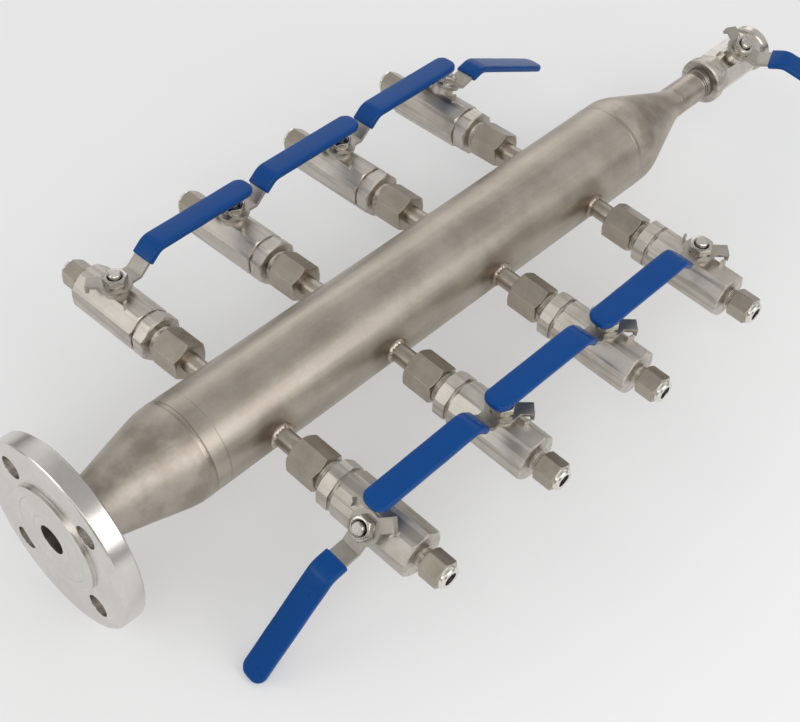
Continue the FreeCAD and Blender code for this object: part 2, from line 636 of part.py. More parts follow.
def make_outlet_nut():
    """Small compression nut with a round collar that takes the outlet tube."""
    blank = new_body("outlet_nut_blank")
    corner = "(outlet_nut_flats / sqrt(3))"
    thread = "(neck_thread / 2 + fit_clearance)"
    collar = "(outlet_collar / 2)"
    cone = f"({OUTLET_HEX_END} - collar_chamfer)"
    drop = "outlet_nut_chamfer * tan(60)"
    turn(blank, "XY_Plane", [
        (OUTLET_NUT_BACK, thread), (OUTLET_NUT_BACK, f"{corner} - {drop}"),
        (f"{OUTLET_NUT_BACK} + outlet_nut_chamfer", corner),
        (f"{OUTLET_HEX_END} - outlet_nut_chamfer", corner),
        (OUTLET_HEX_END, f"{corner} - {drop}"), (OUTLET_HEX_END, collar),
        (f"{OUTLET_END} - collar_chamfer", collar), (OUTLET_END, f"{collar} - collar_chamfer"),
        (OUTLET_END, TUBE_HOLE), (cone, TUBE_HOLE), (f"{NECK_END} + thread_chamfer", thread)])
    length = "(outlet_nut_length + outlet_nut_collar)"
    return six_sided("outlet_nut", blank, "outlet_nut_flats", OUTLET_NUT_BACK, length,
                     angle="outlet_nut_angle")


def make_outlet_ferrule():
    """Ferrule that waits for the outlet tube inside the outlet nut."""
    body = new_body("outlet_ferrule")
    start = f"({NECK_END} + ferrule_gap)"
    end = f"({OUTLET_HEX_END} - collar_chamfer - ferrule_wall - 2 * ferrule_gap)"
    turn(body, "XY_Plane", [
        (start, TUBE_HOLE), (start, f"{TUBE_HOLE} + ferrule_height"),
        (f"{start} + thread_chamfer", f"{TUBE_HOLE} + ferrule_height"), (end, f"{TUBE_HOLE} + ferrule_wall"),
        (end, TUBE_HOLE)])
    return body


def make_seat():
    """Seat ring with a round face that the ball turns against."""
    body = new_body("ball_seat")
    sphere = "(ball_diameter / 2 + seat_gap)"
    inner = "(seat_bore / 2)"
    turn(body, "XY_Plane", [
        ("seat_back", inner), ("seat_back", "seat_outer / 2"), ("seat_front", "seat_outer / 2"),
        ("seat_front", f"sqrt({sphere} ^ 2 - seat_front ^ 2)"),
        (f"sqrt({sphere} ^ 2 - {inner} ^ 2)", inner, "X", 0, True)])
    return body


def ring_on_stem(name, outer, low, high):
    """Plain ring round the stem."""
    body = new_body(name)
    turn(body, "XZ_Plane", [(STEM_HOLE, low), (outer, low), (outer, high), (STEM_HOLE, high)], axis="V_Axis")
    return body


def make_stem():
    """Stem: tang in the ball, retaining collar, driving flats and threaded top."""
    body = new_body("stem_piece")
    shaft = "(stem_diameter / 2)"
    stud = "(stud_diameter / 2)"
    tang = "(tang_length / 2)"
    collar_top = "(stem_collar_low + stem_collar_height)"
    turn(body, "XZ_Plane", [
        (0, "slot_floor + slot_clearance"), (tang, "slot_floor + slot_clearance"), (tang, "stem_collar_low"),
        ("stem_collar / 2", "stem_collar_low"), ("stem_collar / 2", collar_top), (shaft, collar_top),
        (shaft, PLATE_TOP), (stud, PLATE_TOP), (stud, "stud_top - thread_chamfer"),
        (f"{stud} - thread_chamfer", "stud_top"),
        (0, "stud_top")], axis="V_Axis")
    for half, low, high in (("tang_width / 2", "slot_floor", "stem_collar_low"),
                            ("seat_flats / 2", "plate_seat", PLATE_TOP)):
        for side in (1, -1):
            sketch = new_sketch(body, "YZ_Plane")
            far = f"{side} * stem_collar"
            near = f"{side} * {half}"
            add_outline(sketch, [(near, low), (far, low), (far, high), (near, high)])
            pocket_through(body, sketch)
    return body


def make_ball():
    """Ball with its flow bore, shut across the flow at rest, and the slot for the tang."""
    ball = primitive("Part::Sphere", "ball_solid", Radius="ball_diameter / 2")
    bore = primitive("Part::Cylinder", "ball_bore", Radius="flow_bore / 2", Height="2 * ball_diameter")
    bore.Placement.Rotation = FreeCAD.Rotation(FreeCAD.Vector(1, 0, 0), 90)
    bind(bore, Placement__Base__y="ball_diameter")
    wide = "(tang_width + 2 * slot_clearance)"
    slot = primitive("Part::Box", "ball_slot", Length="2 * ball_diameter", Width=wide, Height="ball_diameter")
    bind(slot, Placement__Base__x="-ball_diameter", Placement__Base__y=f"-{wide} / 2",
         Placement__Base__z="slot_floor")
    return cut("ball_piece", ball, combine("Part::MultiFuse", "ball_tools", [bore, slot]))


# Lever pieces, drawn with the lever along X and then turned to the shut position
def strip_corners(start, end, low_gap, high_gap):
    """Side outline of a strip that follows the lever plate, with a gap below and above the plate."""
    low = f"-{low_gap}"
    high = f"(plate_thickness + {high_gap})"
    corners = []
    for gap, backwards in ((low, False), (high, True)):
        line = [(f"{start}", f"plate_seat + ({gap})"),
                (f"hub_end - ({gap}) * tan{HALF_RISE}", f"plate_seat + ({gap})"),
                (f"rise_end - ({gap}) * tan{HALF_RISE}", f"{LEVER_HEIGHT} + ({gap})"),
                (f"{end}", f"{LEVER_HEIGHT} + ({gap})")]
        corners += line[::-1] if backwards else line
    return corners


def turn_to_rest(item):
    """Swing a lever piece from along X to the shut position."""
    item.Placement.Rotation = FreeCAD.Rotation(FreeCAD.Vector(0, 0, 1), -90)
    return item


def make_lever():
    """Lever plate: hub on the stem flats, stop ear bent down at its end, rise and arm."""
    strip = new_body("lever_strip")
    sketch = new_sketch(strip, "XZ_Plane")
    add_outline(sketch, strip_corners(0, PLATE_REACH, 0, 0))
    pad(strip, sketch, "plate_width", midplane=True)
    hub = primitive("Part::Cylinder", "lever_hub", Radius="hub_radius", Height="plate_thickness")
    bind(hub, Placement__Base__z="plate_seat")
    ear = primitive("Part::Box", "lever_ear", Length="ear_reach", Width="ear_width", Height="plate_thickness")
    lip = primitive("Part::Box", "lever_lip", Length="plate_thickness", Width="ear_width",
                    Height="ear_drop + plate_thickness")
    bind(ear, Placement__Base__y="-ear_width / 2", Placement__Base__z="plate_seat")
    bind(lip, Placement__Base__x="ear_reach - plate_thickness", Placement__Base__y="-ear_width / 2",
         Placement__Base__z="plate_seat - ear_drop")
    side = combine("Part::MultiFuse", "lever_side", [ear, lip])
    side.Placement.Rotation = FreeCAD.Rotation(FreeCAD.Vector(0, 0, 1), value("ear_angle"))
    plate = combine("Part::MultiFuse", "lever_blank", [strip, hub, side])
    rod = primitive("Part::Cylinder", "lever_hole_round", Radius=STEM_HOLE, Height="stud_top")
    across = "(seat_flats + 2 * running_clearance)"
    flats = primitive("Part::Box", "lever_hole_flats", Length=across, Width="stud_top", Height="stud_top")
    bind(flats, Placement__Base__x=f"-{across} / 2", Placement__Base__y="-stud_top / 2")
    hole = combine("Part::MultiCommon", "lever_hole", [rod, flats])
    return turn_to_rest(cut("lever_piece", plate, hole))


def make_grip():
    """Moulded sleeve over the lever arm, bent with it and rounded at the tip."""
    body = new_body("grip_piece")
    sketch = new_sketch(body, "XZ_Plane")
    gap = "((grip_thickness - plate_thickness) / 2)"
    low = f"(-{gap})"
    high = f"(plate_thickness + {gap})"
    on_rise = f"(plate_seat + (grip_start - hub_end) * tan({RISE_ANGLE}))"
    foot = (f"grip_start + {gap} * sin({RISE_ANGLE})", f"{on_rise} - {gap} * cos({RISE_ANGLE})")
    rise = f"({gap} + plate_thickness)"
    head = (f"grip_start - {rise} * sin({RISE_ANGLE})", f"{on_rise} + {rise} * cos({RISE_ANGLE})")
    add_outline(sketch, [
        foot, (f"rise_end - {low} * tan{HALF_RISE}", f"{LEVER_HEIGHT} + {low}"),
        (GRIP_REACH, f"{LEVER_HEIGHT} + {low}"), (GRIP_REACH, f"{LEVER_HEIGHT} + {high}"),
        (f"rise_end - {high} * tan{HALF_RISE}", f"{LEVER_HEIGHT} + {high}"), head])
    pad(body, sketch, "grip_width", midplane=True)
    reach = value(GRIP_REACH)
    half_width = value("grip_width / 2")
    knee = value("rise_end")
    level = value(f"{LEVER_HEIGHT} + plate_thickness / 2")
    thickness = value("grip_thickness")
    touching = 0.01

    def is_tip_corner(edge):
        box = edge.BoundBox
        return box.XMin > reach - touching and box.YLength < touching

    def is_upper_knee(edge):
        box = edge.BoundBox
        near_knee = abs(box.XMin - knee) < thickness
        return near_knee and box.YLength > half_width and box.ZMin > level

    def is_lower_knee(edge):
        box = edge.BoundBox
        near_knee = abs(box.XMin - knee) < thickness
        return near_knee and box.YLength > half_width and box.ZMax < level

    def is_long_edge(edge):
        box = edge.BoundBox
        at_side = abs(abs(box.Center.y) - half_width) < touching
        return at_side and box.XLength > thickness / 2 and box.YLength < touching

    round_edges(body, is_upper_knee, "knee_outer", "grip_upper_knee")
    round_edges(body, is_lower_knee, "knee_inner", "grip_lower_knee")
    round_edges(body, is_tip_corner, "grip_round", "grip_tip")
    round_edges(body, is_long_edge, "grip_edge", "grip_edges")
    cavity = new_sketch(body, "XZ_Plane")
    add_outline(cavity, strip_corners(f"hub_end - {PAST}", f"{PLATE_REACH} + fit_clearance", "fit_clearance",
                                      "fit_clearance"))
    slot = body.newObject("PartDesign::Pocket", "grip_slot")
    slot.Profile = cavity
    slot.Midplane = True
    bind(slot, Length="plate_width + 2 * fit_clearance")
    return turn_to_rest(body)


def make_handle_nut():
    """Washer and nut that hold the lever on its stem."""
    washer = new_body("handle_washer")
    hole = "(stud_diameter / 2 + fit_clearance)"
    top = f"({PLATE_TOP} + washer_height)"
    turn(washer, "XZ_Plane", [
        (hole, PLATE_TOP), ("washer_diameter / 2", PLATE_TOP), ("washer_diameter / 2", top), (hole, top)],
        axis="V_Axis")
    blank = new_body("handle_nut_blank")
    corner = "(handle_nut_flats / sqrt(3))"
    nut_top = f"({top} + handle_nut_height)"
    turn(blank, "XZ_Plane", [
        (hole, top), (corner, top), (corner, f"{nut_top} - handle_nut_chamfer"),
        (f"{corner} - handle_nut_chamfer * tan(60)", nut_top), (hole, nut_top)], axis="V_Axis")
    nut = six_sided("handle_nut", blank, "handle_nut_flats", top, "handle_nut_height", axis="Z")
    return group("handle_nut_set", [washer, nut])


# Pieces of the drain valve
def add_octagon(body, flats, start, end):
    """Pad an eight-sided bar along X between two places."""
    sketch = new_sketch(body, "YZ_Plane", start)
    add_outline(sketch, octagon_corners(flats))
    pad(body, sketch, f"{end} - ({start})")


def add_collar(body, back, front):
    """Turn a collar with chamfered rims on a drain valve half."""
    collar = "(drain_collar / 2)"
    turn(body, "XY_Plane", [
        (back, 0), (back, f"{collar} - drain_chamfer"), (f"{back} + drain_chamfer", collar),
        (f"{front} - drain_chamfer", collar), (front, f"{collar} - drain_chamfer"), (front, 0)])


def make_drain_cap():
    """Back half of the drain valve, which the nipple screws into."""
    body = new_body("drain_cap")
    thread = "(nipple_diameter / 2 + fit_clearance)"
    seat_pocket = "(seat_outer / 2 + fit_clearance)"
    floor = "(-drain_half + nipple_engagement + nipple_room)"
    add_octagon(body, "drain_flats", "-drain_half + drain_chamfer", "-drain_parting")
    add_collar(body, "-drain_half", "(-drain_half + drain_collar_length)")
    turn(body, "XY_Plane", [
        (f"-drain_parting - {PAST}", 0), (f"-drain_parting - {PAST}", "spigot_diameter / 2"),
        (f"-{CAVITY_HALF}", "spigot_diameter / 2"), (f"-{CAVITY_HALF}", 0)])
    turn(body, "XY_Plane", [
        (f"-drain_half - {PAST}", 0), (f"-drain_half - {PAST}", thread), (floor, thread),
        (floor, "flow_bore / 2"),
        ("-seat_back", "flow_bore / 2"), ("-seat_back", seat_pocket), ("0", seat_pocket), ("0", 0)], cut=True)
    return body


def make_drain_body():
    """Front half of the drain valve, with its stem boss and a threaded outlet."""
    body = new_body("drain_body_piece")
    add_octagon(body, "drain_flats", "-drain_parting", "drain_half - drain_chamfer")
    add_collar(body, "(drain_half - drain_collar_length)", "drain_half")
    add_stem_features(body)
    bore_for_flow(body, "-drain_parting", f"drain_half + {PAST}", [
        ("drain_half - drain_thread_depth", "flow_bore / 2"),
        ("drain_half - drain_thread_depth", "drain_thread / 2"),
        (f"drain_half + {PAST}", "drain_thread / 2")])
    bore_for_stem(body)
    return body


# Placing the pieces
def outlet_places(leaning=1):
    """Name and frame of each outlet valve; without the lean for the pieces that stay upright."""
    places = []
    for row, side in (("front", -1), ("back", 1)):
        droop = FreeCAD.Rotation(FreeCAD.Vector(1, 0, 0), -side * value("droop_angle"))
        outward = FreeCAD.Rotation(FreeCAD.Vector(0, 0, 1), 90 * side)
        for number in range(1, VALVES_PER_ROW + 1):
            angle = value(f"lean_angle_{row}_{number}") * leaning
            lean = FreeCAD.Rotation(FreeCAD.Vector(0, 1, 0), angle)
            places.append({
                "name": f"{row}_{number}", "rotation": droop.multiply(lean).multiply(outward),
                "x": f"{HEADER_START} + first_outlet + {number - 1} * outlet_pitch",
                "y": f"{side} * ball_reach * cos(droop_angle)", "z": "-ball_reach * sin(droop_angle)"})
    return places


def drain_place():
    """Name and frame of the drain valve."""
    lean = FreeCAD.Rotation(FreeCAD.Vector(1, 0, 0), value("lean_angle_drain"))
    return {"name": "drain", "rotation": lean, "x": DRAIN_BALL, "y": "0", "z": "0"}


def opened(place):
    """The same frame turned about the stem, for the handle of a valve that doesn't stand square."""
    size = "open_angle_" + place["name"]
    angle = value(size) if size in ALIASES else 0
    turned = FreeCAD.Rotation(FreeCAD.Vector(0, 0, 1), angle)
    return dict(place, rotation=place["rotation"].multiply(turned))


def set_in_place(name, pieces, place):
    """Repeat pieces of the valve frame at one valve."""
    item = doc.addObject("Part::Compound", name)
    item.Links = pieces
    item.Placement.Rotation = place["rotation"]
    bind(item, Placement__Base__x=place["x"], Placement__Base__y=place["y"], Placement__Base__z=place["z"])
    return item


def group(name, items):
    """Gather separate solids in one object."""
    item = doc.addObject("Part::Compound", name)
    item.Links = items
    return item


def turned_over(name, piece):
    """The same piece turned end for end about its stem."""
    item = doc.addObject("Part::Compound", name)
    item.Links = [piece]
    item.Placement.Rotation = FreeCAD.Rotation(FreeCAD.Vector(0, 0, 1), 180)
    return item


header_pipe = make_header_pipe()
inlet_reducer = make_reducer("inlet_reducer", "flange_thickness", HEADER_START, "(reducer_end / 2)",
                             HEADER_RADIUS)
drain_reducer = make_reducer("drain_reducer", HEADER_END, DRAIN_START, HEADER_RADIUS,
                             "(nipple_diameter / 2)")
nodes = [header_pipe, inlet_reducer, drain_reducer, make_flange(), make_nipple(), make_weld_beads()]

upright = outlet_places(0)
leaning = outlet_places(1)
valves = leaning + [drain_place()]
handles = [opened(place) for place in valves]
for label, piece in (("outlet_stubs", make_stub()), ("inlet_nuts", make_inlet_nut()),
                     ("inlet_ferrules", make_inlet_ferrule()), ("outlet_nuts", make_outlet_nut()),
                     ("outlet_ferrules", make_outlet_ferrule())):
    copies = [set_in_place(label + "_" + place["name"], [piece], place) for place in upright]
    nodes.append(group(label, copies))

end_cap = make_end_cap()
caps = [set_in_place("cap_" + place["name"], [end_cap], place) for place in upright]
caps.append(set_in_place("cap_drain", [make_drain_cap()], drain_place()))
nodes.append(group("end_caps", caps))

valve_body = make_valve_body()
for place in leaning:
    nodes.append(set_in_place("valve_body_" + place["name"], [valve_body], place))
nodes.append(set_in_place("valve_body_drain", [make_drain_body()], drain_place()))

seat = make_seat()
seats = group("seat_pair", [seat, turned_over("seat_behind", seat)])
packing = ring_on_stem("packing", "gland_diameter / 2", "gland_floor", "gland_floor + packing_height")
collar_top = "(stem_collar_low + stem_collar_height)"
thrust = ring_on_stem("thrust_washer", "stem_collar / 2", collar_top, THRUST_TOP)
gland = ring_on_stem("gland_ring", "gland_diameter / 2", "gland_floor + packing_height",
                     "gland_floor + packing_height + gland_height")
for label, piece in (("ball_seats", seats), ("stem_packings", group("packing_set", [packing, thrust])),
                     ("gland_rings", gland)):
    copies = [set_in_place(label + "_" + place["name"], [piece], place) for place in valves]
    nodes.append(group(label, copies))

stem_set = group("stem_set", [make_stem(), make_ball()])
for kind, piece in (("stem", stem_set), ("lever", make_lever()), ("grip", make_grip()),
                    ("handle_nut", make_handle_nut())):
    for place in handles:
        nodes.append(set_in_place(kind + "_" + place["name"], [piece], place))

doc.recompute()

# Every object has to be sound before anything is written
faulty = [item.Label for item in doc.Objects if "Invalid" in item.State or "Error" in item.State]
faulty += [node.Label for node in nodes if node.Shape.isNull() or not node.Shape.isValid()]
if faulty:
    raise RuntimeError("faulty objects: " + ", ".join(faulty))
for node in nodes:
    node.Shape.exportStep(f"parts/{node.Label}.step")
print(len(nodes), "parts,", sum(len(node.Shape.Solids) for node in nodes), "solids")
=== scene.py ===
import json
import math

import bmesh
import bpy
from mathutils import Matrix, Vector, noise


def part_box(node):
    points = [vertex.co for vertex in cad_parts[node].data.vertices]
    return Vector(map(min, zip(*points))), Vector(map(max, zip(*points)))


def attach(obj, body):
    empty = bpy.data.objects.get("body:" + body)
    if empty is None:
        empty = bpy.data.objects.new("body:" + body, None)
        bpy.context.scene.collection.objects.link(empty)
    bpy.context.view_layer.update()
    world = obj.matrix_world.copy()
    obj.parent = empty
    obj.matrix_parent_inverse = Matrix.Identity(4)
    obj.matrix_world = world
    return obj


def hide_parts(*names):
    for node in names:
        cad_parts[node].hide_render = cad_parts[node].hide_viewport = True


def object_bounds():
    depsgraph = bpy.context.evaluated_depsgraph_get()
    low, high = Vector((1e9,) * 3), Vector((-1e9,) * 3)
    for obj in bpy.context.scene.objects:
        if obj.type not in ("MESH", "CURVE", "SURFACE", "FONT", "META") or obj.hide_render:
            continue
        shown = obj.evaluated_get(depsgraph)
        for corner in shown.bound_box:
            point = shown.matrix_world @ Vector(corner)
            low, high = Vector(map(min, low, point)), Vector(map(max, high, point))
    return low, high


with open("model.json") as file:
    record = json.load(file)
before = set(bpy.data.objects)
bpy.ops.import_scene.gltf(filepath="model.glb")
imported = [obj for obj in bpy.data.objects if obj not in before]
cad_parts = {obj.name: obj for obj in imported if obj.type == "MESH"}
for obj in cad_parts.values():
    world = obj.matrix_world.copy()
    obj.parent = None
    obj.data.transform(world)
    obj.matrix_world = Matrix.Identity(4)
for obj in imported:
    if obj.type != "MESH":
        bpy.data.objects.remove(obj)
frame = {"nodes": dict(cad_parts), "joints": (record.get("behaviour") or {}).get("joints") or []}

bl_info = {
    "name": "Air manifold splitter",
    "version": (1, 0, 0),
    "blender": (4, 5, 0),
    "location": "3D View > Sidebar > Manifold",
    "description": "Finishes, welds, grips and studio for a valved air manifold",
    "category": "Object",
}

WHITE = (1.0, 1.0, 1.0)
CAD_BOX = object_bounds()
NODES = frame["nodes"]
PIVOTS = {joint["name"].removesuffix("_turn"): Vector(joint["pos_m"]) for joint in frame["joints"]}
STEMS = {joint["name"].removesuffix("_turn"): Vector(joint["axis"]).normalized() for joint in frame["joints"]}
VALVES = list(PIVOTS)
OUTLETS = [valve for valve in VALVES if valve != "drain"]
HEADER_START, HEADER_END = (corner.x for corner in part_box("header_pipe"))
HEADER_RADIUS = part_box("header_pipe")[1].z
OUTLET_PITCH = PIVOTS["front_2"].x - PIVOTS["front_1"].x
FLANGE_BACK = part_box("inlet_flange")[1].x
NIPPLE_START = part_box("drain_nipple")[0].x
NIPPLE_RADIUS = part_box("drain_nipple")[1].z

# Places along the header axis, and lengths on the drain valve and the outlet nuts, in metres
INLET_NECK, INLET_SHOULDER = 0.022, 0.076
DRAIN_SHOULDER, DRAIN_NECK = HEADER_END + 0.016, HEADER_END + 0.068
NIPPLE_SEAM = NIPPLE_START + 0.004
SECOND_SEAM = HEADER_START + 0.012
DRAIN_HALF, THREAD_SHOWN, BRIGHT_COLLAR = 0.0313, 0.009, 0.0029
NIPPLE_THREAD = PIVOTS["drain"].x - DRAIN_HALF - THREAD_SHOWN

# Finishes: base roughness of each kind of steel, the share of painted dark reflection streaks on the barrels, and
# the colour of a polished collar
FITTING_ROUGHNESS = 0.22
BARREL_ROUGHNESS = 0.38
DRAIN_ROUGHNESS = 0.16
PLATE_ROUGHNESS = 0.34
BRIGHT_ROUGHNESS = 0.16
BARREL_STREAKS = 0.5
POLISHED = (0.80, 0.77, 0.72, 1.0)

# Meshes: the angle that stays sharp, how finely round forms are divided, and how uneven surfaces are
SHARP = math.radians(35)
CONE_SIDES, CONE_STEPS, EASED_STEPS, EASED_RUN = 120, 4, 8, 0.006
NUT_SIDES, CHAMFER_SLOPE = 72, 0.6
CORNER_STEPS, KNEE_STEPS, STRAIGHT_STEPS, TIP_STEPS = 5, 8, 12, 12
RIPPLE_STEPS, BEAD_STEPS, RIPPLE_HEIGHT, RIPPLE_LEAN = 6, 8, 0.10, 1.4
DENT_DEPTH, CONE_DENTS, GRIP_DENTS = 0.00012, 55.0, 90.0
NOISE_SEED = 5

# Stage: reach of the floor, width of the camera's sensor, and each lamp's name, place, width and height
FLOOR_REACH = 60.0
SENSOR_WIDTH = 36.0
LAMPS = (("front_card", (0.38, -1.00, 0.68), 0.9, 0.75),
         ("back_card", (1.40, 1.25, 0.68), 1.5, 1.1),
         ("left_card", (-0.95, 0.62, 0.56), 0.8, 0.45),
         ("side_softbox", (-0.90, -0.90, 1.40), 1.2, 1.0))


class Link:
    """A shader socket that takes part in Python expressions."""

    def __init__(self, graph, socket):
        self.graph = graph
        self.socket = socket

    def math(self, operation, *others):
        """A Math node on this value and others."""
        return self.graph.add("ShaderNodeMath", {"operation": operation}, dict(enumerate((self, *others))))

    def __add__(self, other):
        return self.math("ADD", other)

    def __radd__(self, other):
        return self.math("ADD", other)

    def __sub__(self, other):
        return self.math("SUBTRACT", other)

    def __rsub__(self, other):
        return self.graph.add("ShaderNodeMath", {"operation": "SUBTRACT"}, {0: other, 1: self})

    def __mul__(self, other):
        return self.math("MULTIPLY", other)

    def __rmul__(self, other):
        return self.math("MULTIPLY", other)

    def __abs__(self):
        return self.math("ABSOLUTE")


class Graph:
    """The node tree of a material or world, filled by add()."""

    def __init__(self, owner, place="Object"):
        self.owner = owner
        owner.use_nodes = True
        self.tree = owner.node_tree
        self.tree.nodes.clear()
        self.place = self.add("ShaderNodeTexCoord", output=place)

    def add(self, kind, settings=None, inputs=None, output=0):
        """Add a node: its settings first, then the values or links of its sockets."""
        node = self.tree.nodes.new(kind)
        for name, value in (settings or {}).items():
            setattr(node, name, value)
        for name, value in (inputs or {}).items():
            if isinstance(value, Link):
                self.tree.links.new(value.socket, node.inputs[name])
            else:
                node.inputs[name].default_value = value
        return Link(self, node.outputs[output]) if node.outputs else None

    def axes(self):
        """The three coordinates, in metres on a piece."""
        split = self.add("ShaderNodeSeparateXYZ", None, {0: self.place})
        return [Link(self, split.socket.node.outputs[index]) for index in range(3)]

    def noise(self, stretch, detail=3.0, roughness=0.5):
        """Noise between 0 and 1; stretch is the number of cells per metre, for all axes or for each."""
        stretch = stretch if isinstance(stretch, tuple) else (stretch, stretch, stretch)
        mapped = self.add("ShaderNodeVectorMath", {"operation": "MULTIPLY"}, {0: self.place, 1: stretch})
        return self.add("ShaderNodeTexNoise", {"noise_dimensions": "3D"}, {
            "Vector": mapped, "Scale": 1.0, "Detail": detail, "Roughness": roughness})

    def spread(self, value, low, high, new_low=0.0, new_high=1.0):
        """Map a range of a value onto another, clamped and eased."""
        return self.add("ShaderNodeMapRange", {"interpolation_type": "SMOOTHSTEP"}, {
            "Value": value, "From Min": low, "From Max": high, "To Min": new_low, "To Max": new_high})

    def blend(self, amount, first, second):
        """Mix two colours."""
        return self.add("ShaderNodeMix", {"data_type": "RGBA"}, {
            "Factor": amount, 6: first, 7: second}, output=2)

    def rounded_edges(self, radius):
        """A normal that softens sharp edges."""
        return self.add("ShaderNodeBevel", {"samples": 6}, {"Radius": radius})

    def bump(self, height, distance, strength, normal=None):
        """Turn a height into a normal."""
        inputs = {"Height": height, "Distance": distance, "Strength": strength}
        if normal:
            inputs["Normal"] = normal
        return self.add("ShaderNodeBump", None, inputs)

    def finish(self, **sockets):
        """Close the graph with a Principled shader and return the material."""
        inputs = {name.replace("_", " "): value for name, value in sockets.items()}
        shader = self.add("ShaderNodeBsdfPrincipled", None, inputs)
        self.add("ShaderNodeOutputMaterial", None, {"Surface": shader})
        return self.owner


def material_graph(name):
    """Start a new material."""
    return Graph(bpy.data.materials.new(name))


def shade(tone, factor, warmth=0.0):
    """A colour made lighter or darker, and warmer where asked."""
    return (tone[0] * factor * (1 + warmth), tone[1] * factor, tone[2] * factor * (1 - warmth), 1.0)


def cells(axis, lengthwise, across):
    """Noise cells per metre along one axis and across it."""
    return tuple(lengthwise if letter == axis else across for letter in "XYZ")


# Finishes
def pickled_pipe(name, tone):
    """Pickled header pipe: lengthwise streaks, cloudy stains, heat tint round the stubs and two fine seam lines."""
    graph = material_graph(name)
    streaks = graph.noise(cells("X", 5.0, 110.0), 3.0, 0.6)
    clouds = graph.noise(30.0, 4.0, 0.65)
    grain = graph.noise(800.0, 3.0, 0.7)
    lightness = graph.spread(streaks * 0.35 + clouds * 0.5 + grain * 0.15, 0.36, 0.64)
    base = graph.blend(lightness, shade(tone, 0.80, 0.03), shade(tone, 1.10))
    x, y, z = graph.axes()
    lengthwise = (x - PIVOTS["front_1"].x + 0.003).math("PINGPONG", OUTLET_PITCH / 2)
    aside = abs(y) - HEADER_RADIUS
    distance = (lengthwise * lengthwise + aside * aside + z * z * 0.6).math("SQRT") + (clouds - 0.5) * 0.012
    heat = graph.spread(distance, 0.006, 0.020, 1.0, 0.0)
    base = graph.blend(heat, base, shade(tone, 0.58, 0.10))
    second_seam = abs(x - SECOND_SEAM + (clouds - 0.5) * 0.004)
    scar = graph.spread(second_seam, 0.0001, 0.0006, 1.0, 0.0) * graph.spread(clouds, 0.48, 0.60)
    base = graph.blend(scar * 0.5, base, shade(tone, 0.4))
    beside_seam = abs(x - (HEADER_START + 0.0016))
    base = graph.blend(graph.spread(beside_seam, 0.0002, 0.0007, 0.6, 0.0), base, shade(tone, 0.3))
    rough = 0.30 + 0.16 * clouds + 0.08 * grain
    height = streaks * 0.5 + grain * 0.25 + clouds * 1.2
    normal = graph.bump(height, 0.0003, 0.5, graph.rounded_edges(0.0004))
    return graph.finish(Base_Color=base, Metallic=1.0, Roughness=rough, Normal=normal)


def formed_cone(name, tone):
    """Formed reducer: polished, with broad stains, shallow press marks and small dark specks."""
    graph = material_graph(name)
    stains = graph.noise(44.0, 4.0, 0.62)
    marks = graph.noise(80.0, 2.0, 0.5)
    specks = graph.noise(520.0, 2.0, 0.5)
    base = graph.blend(graph.spread(stains, 0.34, 0.66), shade(tone, 0.76, 0.04), shade(tone, 1.12))
    base = graph.blend(graph.spread(specks, 0.68, 0.78) * 0.35, base, shade(tone, 0.5))
    rough = 0.34 + 0.18 * stains + 0.06 * specks
    normal = graph.bump(marks, 0.0007, 0.5, graph.bump(specks, 0.00006, 0.4))
    return graph.finish(Base_Color=base, Metallic=1.0, Roughness=rough, Normal=normal)


def drawn_tube(name, tone, axis):
    """Drawn tube with fine lines along it; the nipple also shows its thread in front of the drain valve, with
    painted shade as dark lines along the thread.
    """
    graph = material_graph(name)
    lines = graph.noise(cells(axis, 14.0, 1300.0), 3.0, 0.6)
    clouds = graph.noise(110.0, 3.0)
    lightness = graph.spread(lines * 0.4 + clouds * 0.6, 0.35, 0.65)
    base = graph.blend(lightness, shade(tone, 0.78, 0.04), shade(tone, 1.06))
    half_pitch = 0.0009
    along = graph.axes()[0]
    ridge = along.math("PINGPONG", half_pitch) * (1 / half_pitch)
    # Painted shade: the thread's dark lines stand in for shade in its grooves; the same wave also raises the thread
    # in the bump
    threaded = graph.spread(along, NIPPLE_THREAD - 0.0003, NIPPLE_THREAD) * ridge
    base = graph.blend(threaded, base, shade(tone, 0.25))
    normal = graph.bump(lines * 0.1 + threaded, 0.0006, 0.8, graph.rounded_edges(0.0004))
    rough = 0.28 + 0.14 * clouds + 0.06 * lines
    return graph.finish(Base_Color=base, Metallic=1.0, Roughness=rough, Normal=normal)


def bar_steel(name, tone, axis, roughness, collar=None, streaks=0.0):
    """Bar stock with fine lines, and painted dark reflection streaks where asked; past the collar's place it is
    polished.
    """
    graph = material_graph(name)
    lines = graph.noise(cells(axis, 22.0, 1100.0), 3.0, 0.6)
    clouds = graph.noise(75.0, 3.0, 0.6)
    lightness = graph.spread(lines * 0.25 + clouds * 0.75, 0.35, 0.65)
    base = graph.blend(lightness, shade(tone, 0.88, 0.02), shade(tone, 1.07))
    rough = roughness + 0.10 * clouds + 0.04 * lines
    # Painted reflection: where streaks is set, broad dark bands along the flats stand in for the dark surroundings
    # that the flats mirror
    if streaks:
        bands = graph.spread(graph.noise(cells(axis, 9.0, 260.0), 2.0), 0.50, 0.62)
        base = graph.blend(bands * streaks, base, shade(tone, 0.5, 0.02))
        rough = rough - bands * 0.10
    if collar:
        bright = graph.spread(abs(graph.axes()[1]), collar - 0.0003, collar + 0.0003)
        base = graph.blend(bright, base, POLISHED)
        rough = rough - bright * 0.05
    normal = graph.bump(lines * 0.3 + clouds * 3.0, 0.00005, 0.5, graph.rounded_edges(0.00045))
    return graph.finish(Base_Color=base, Metallic=1.0, Roughness=rough, Normal=normal)


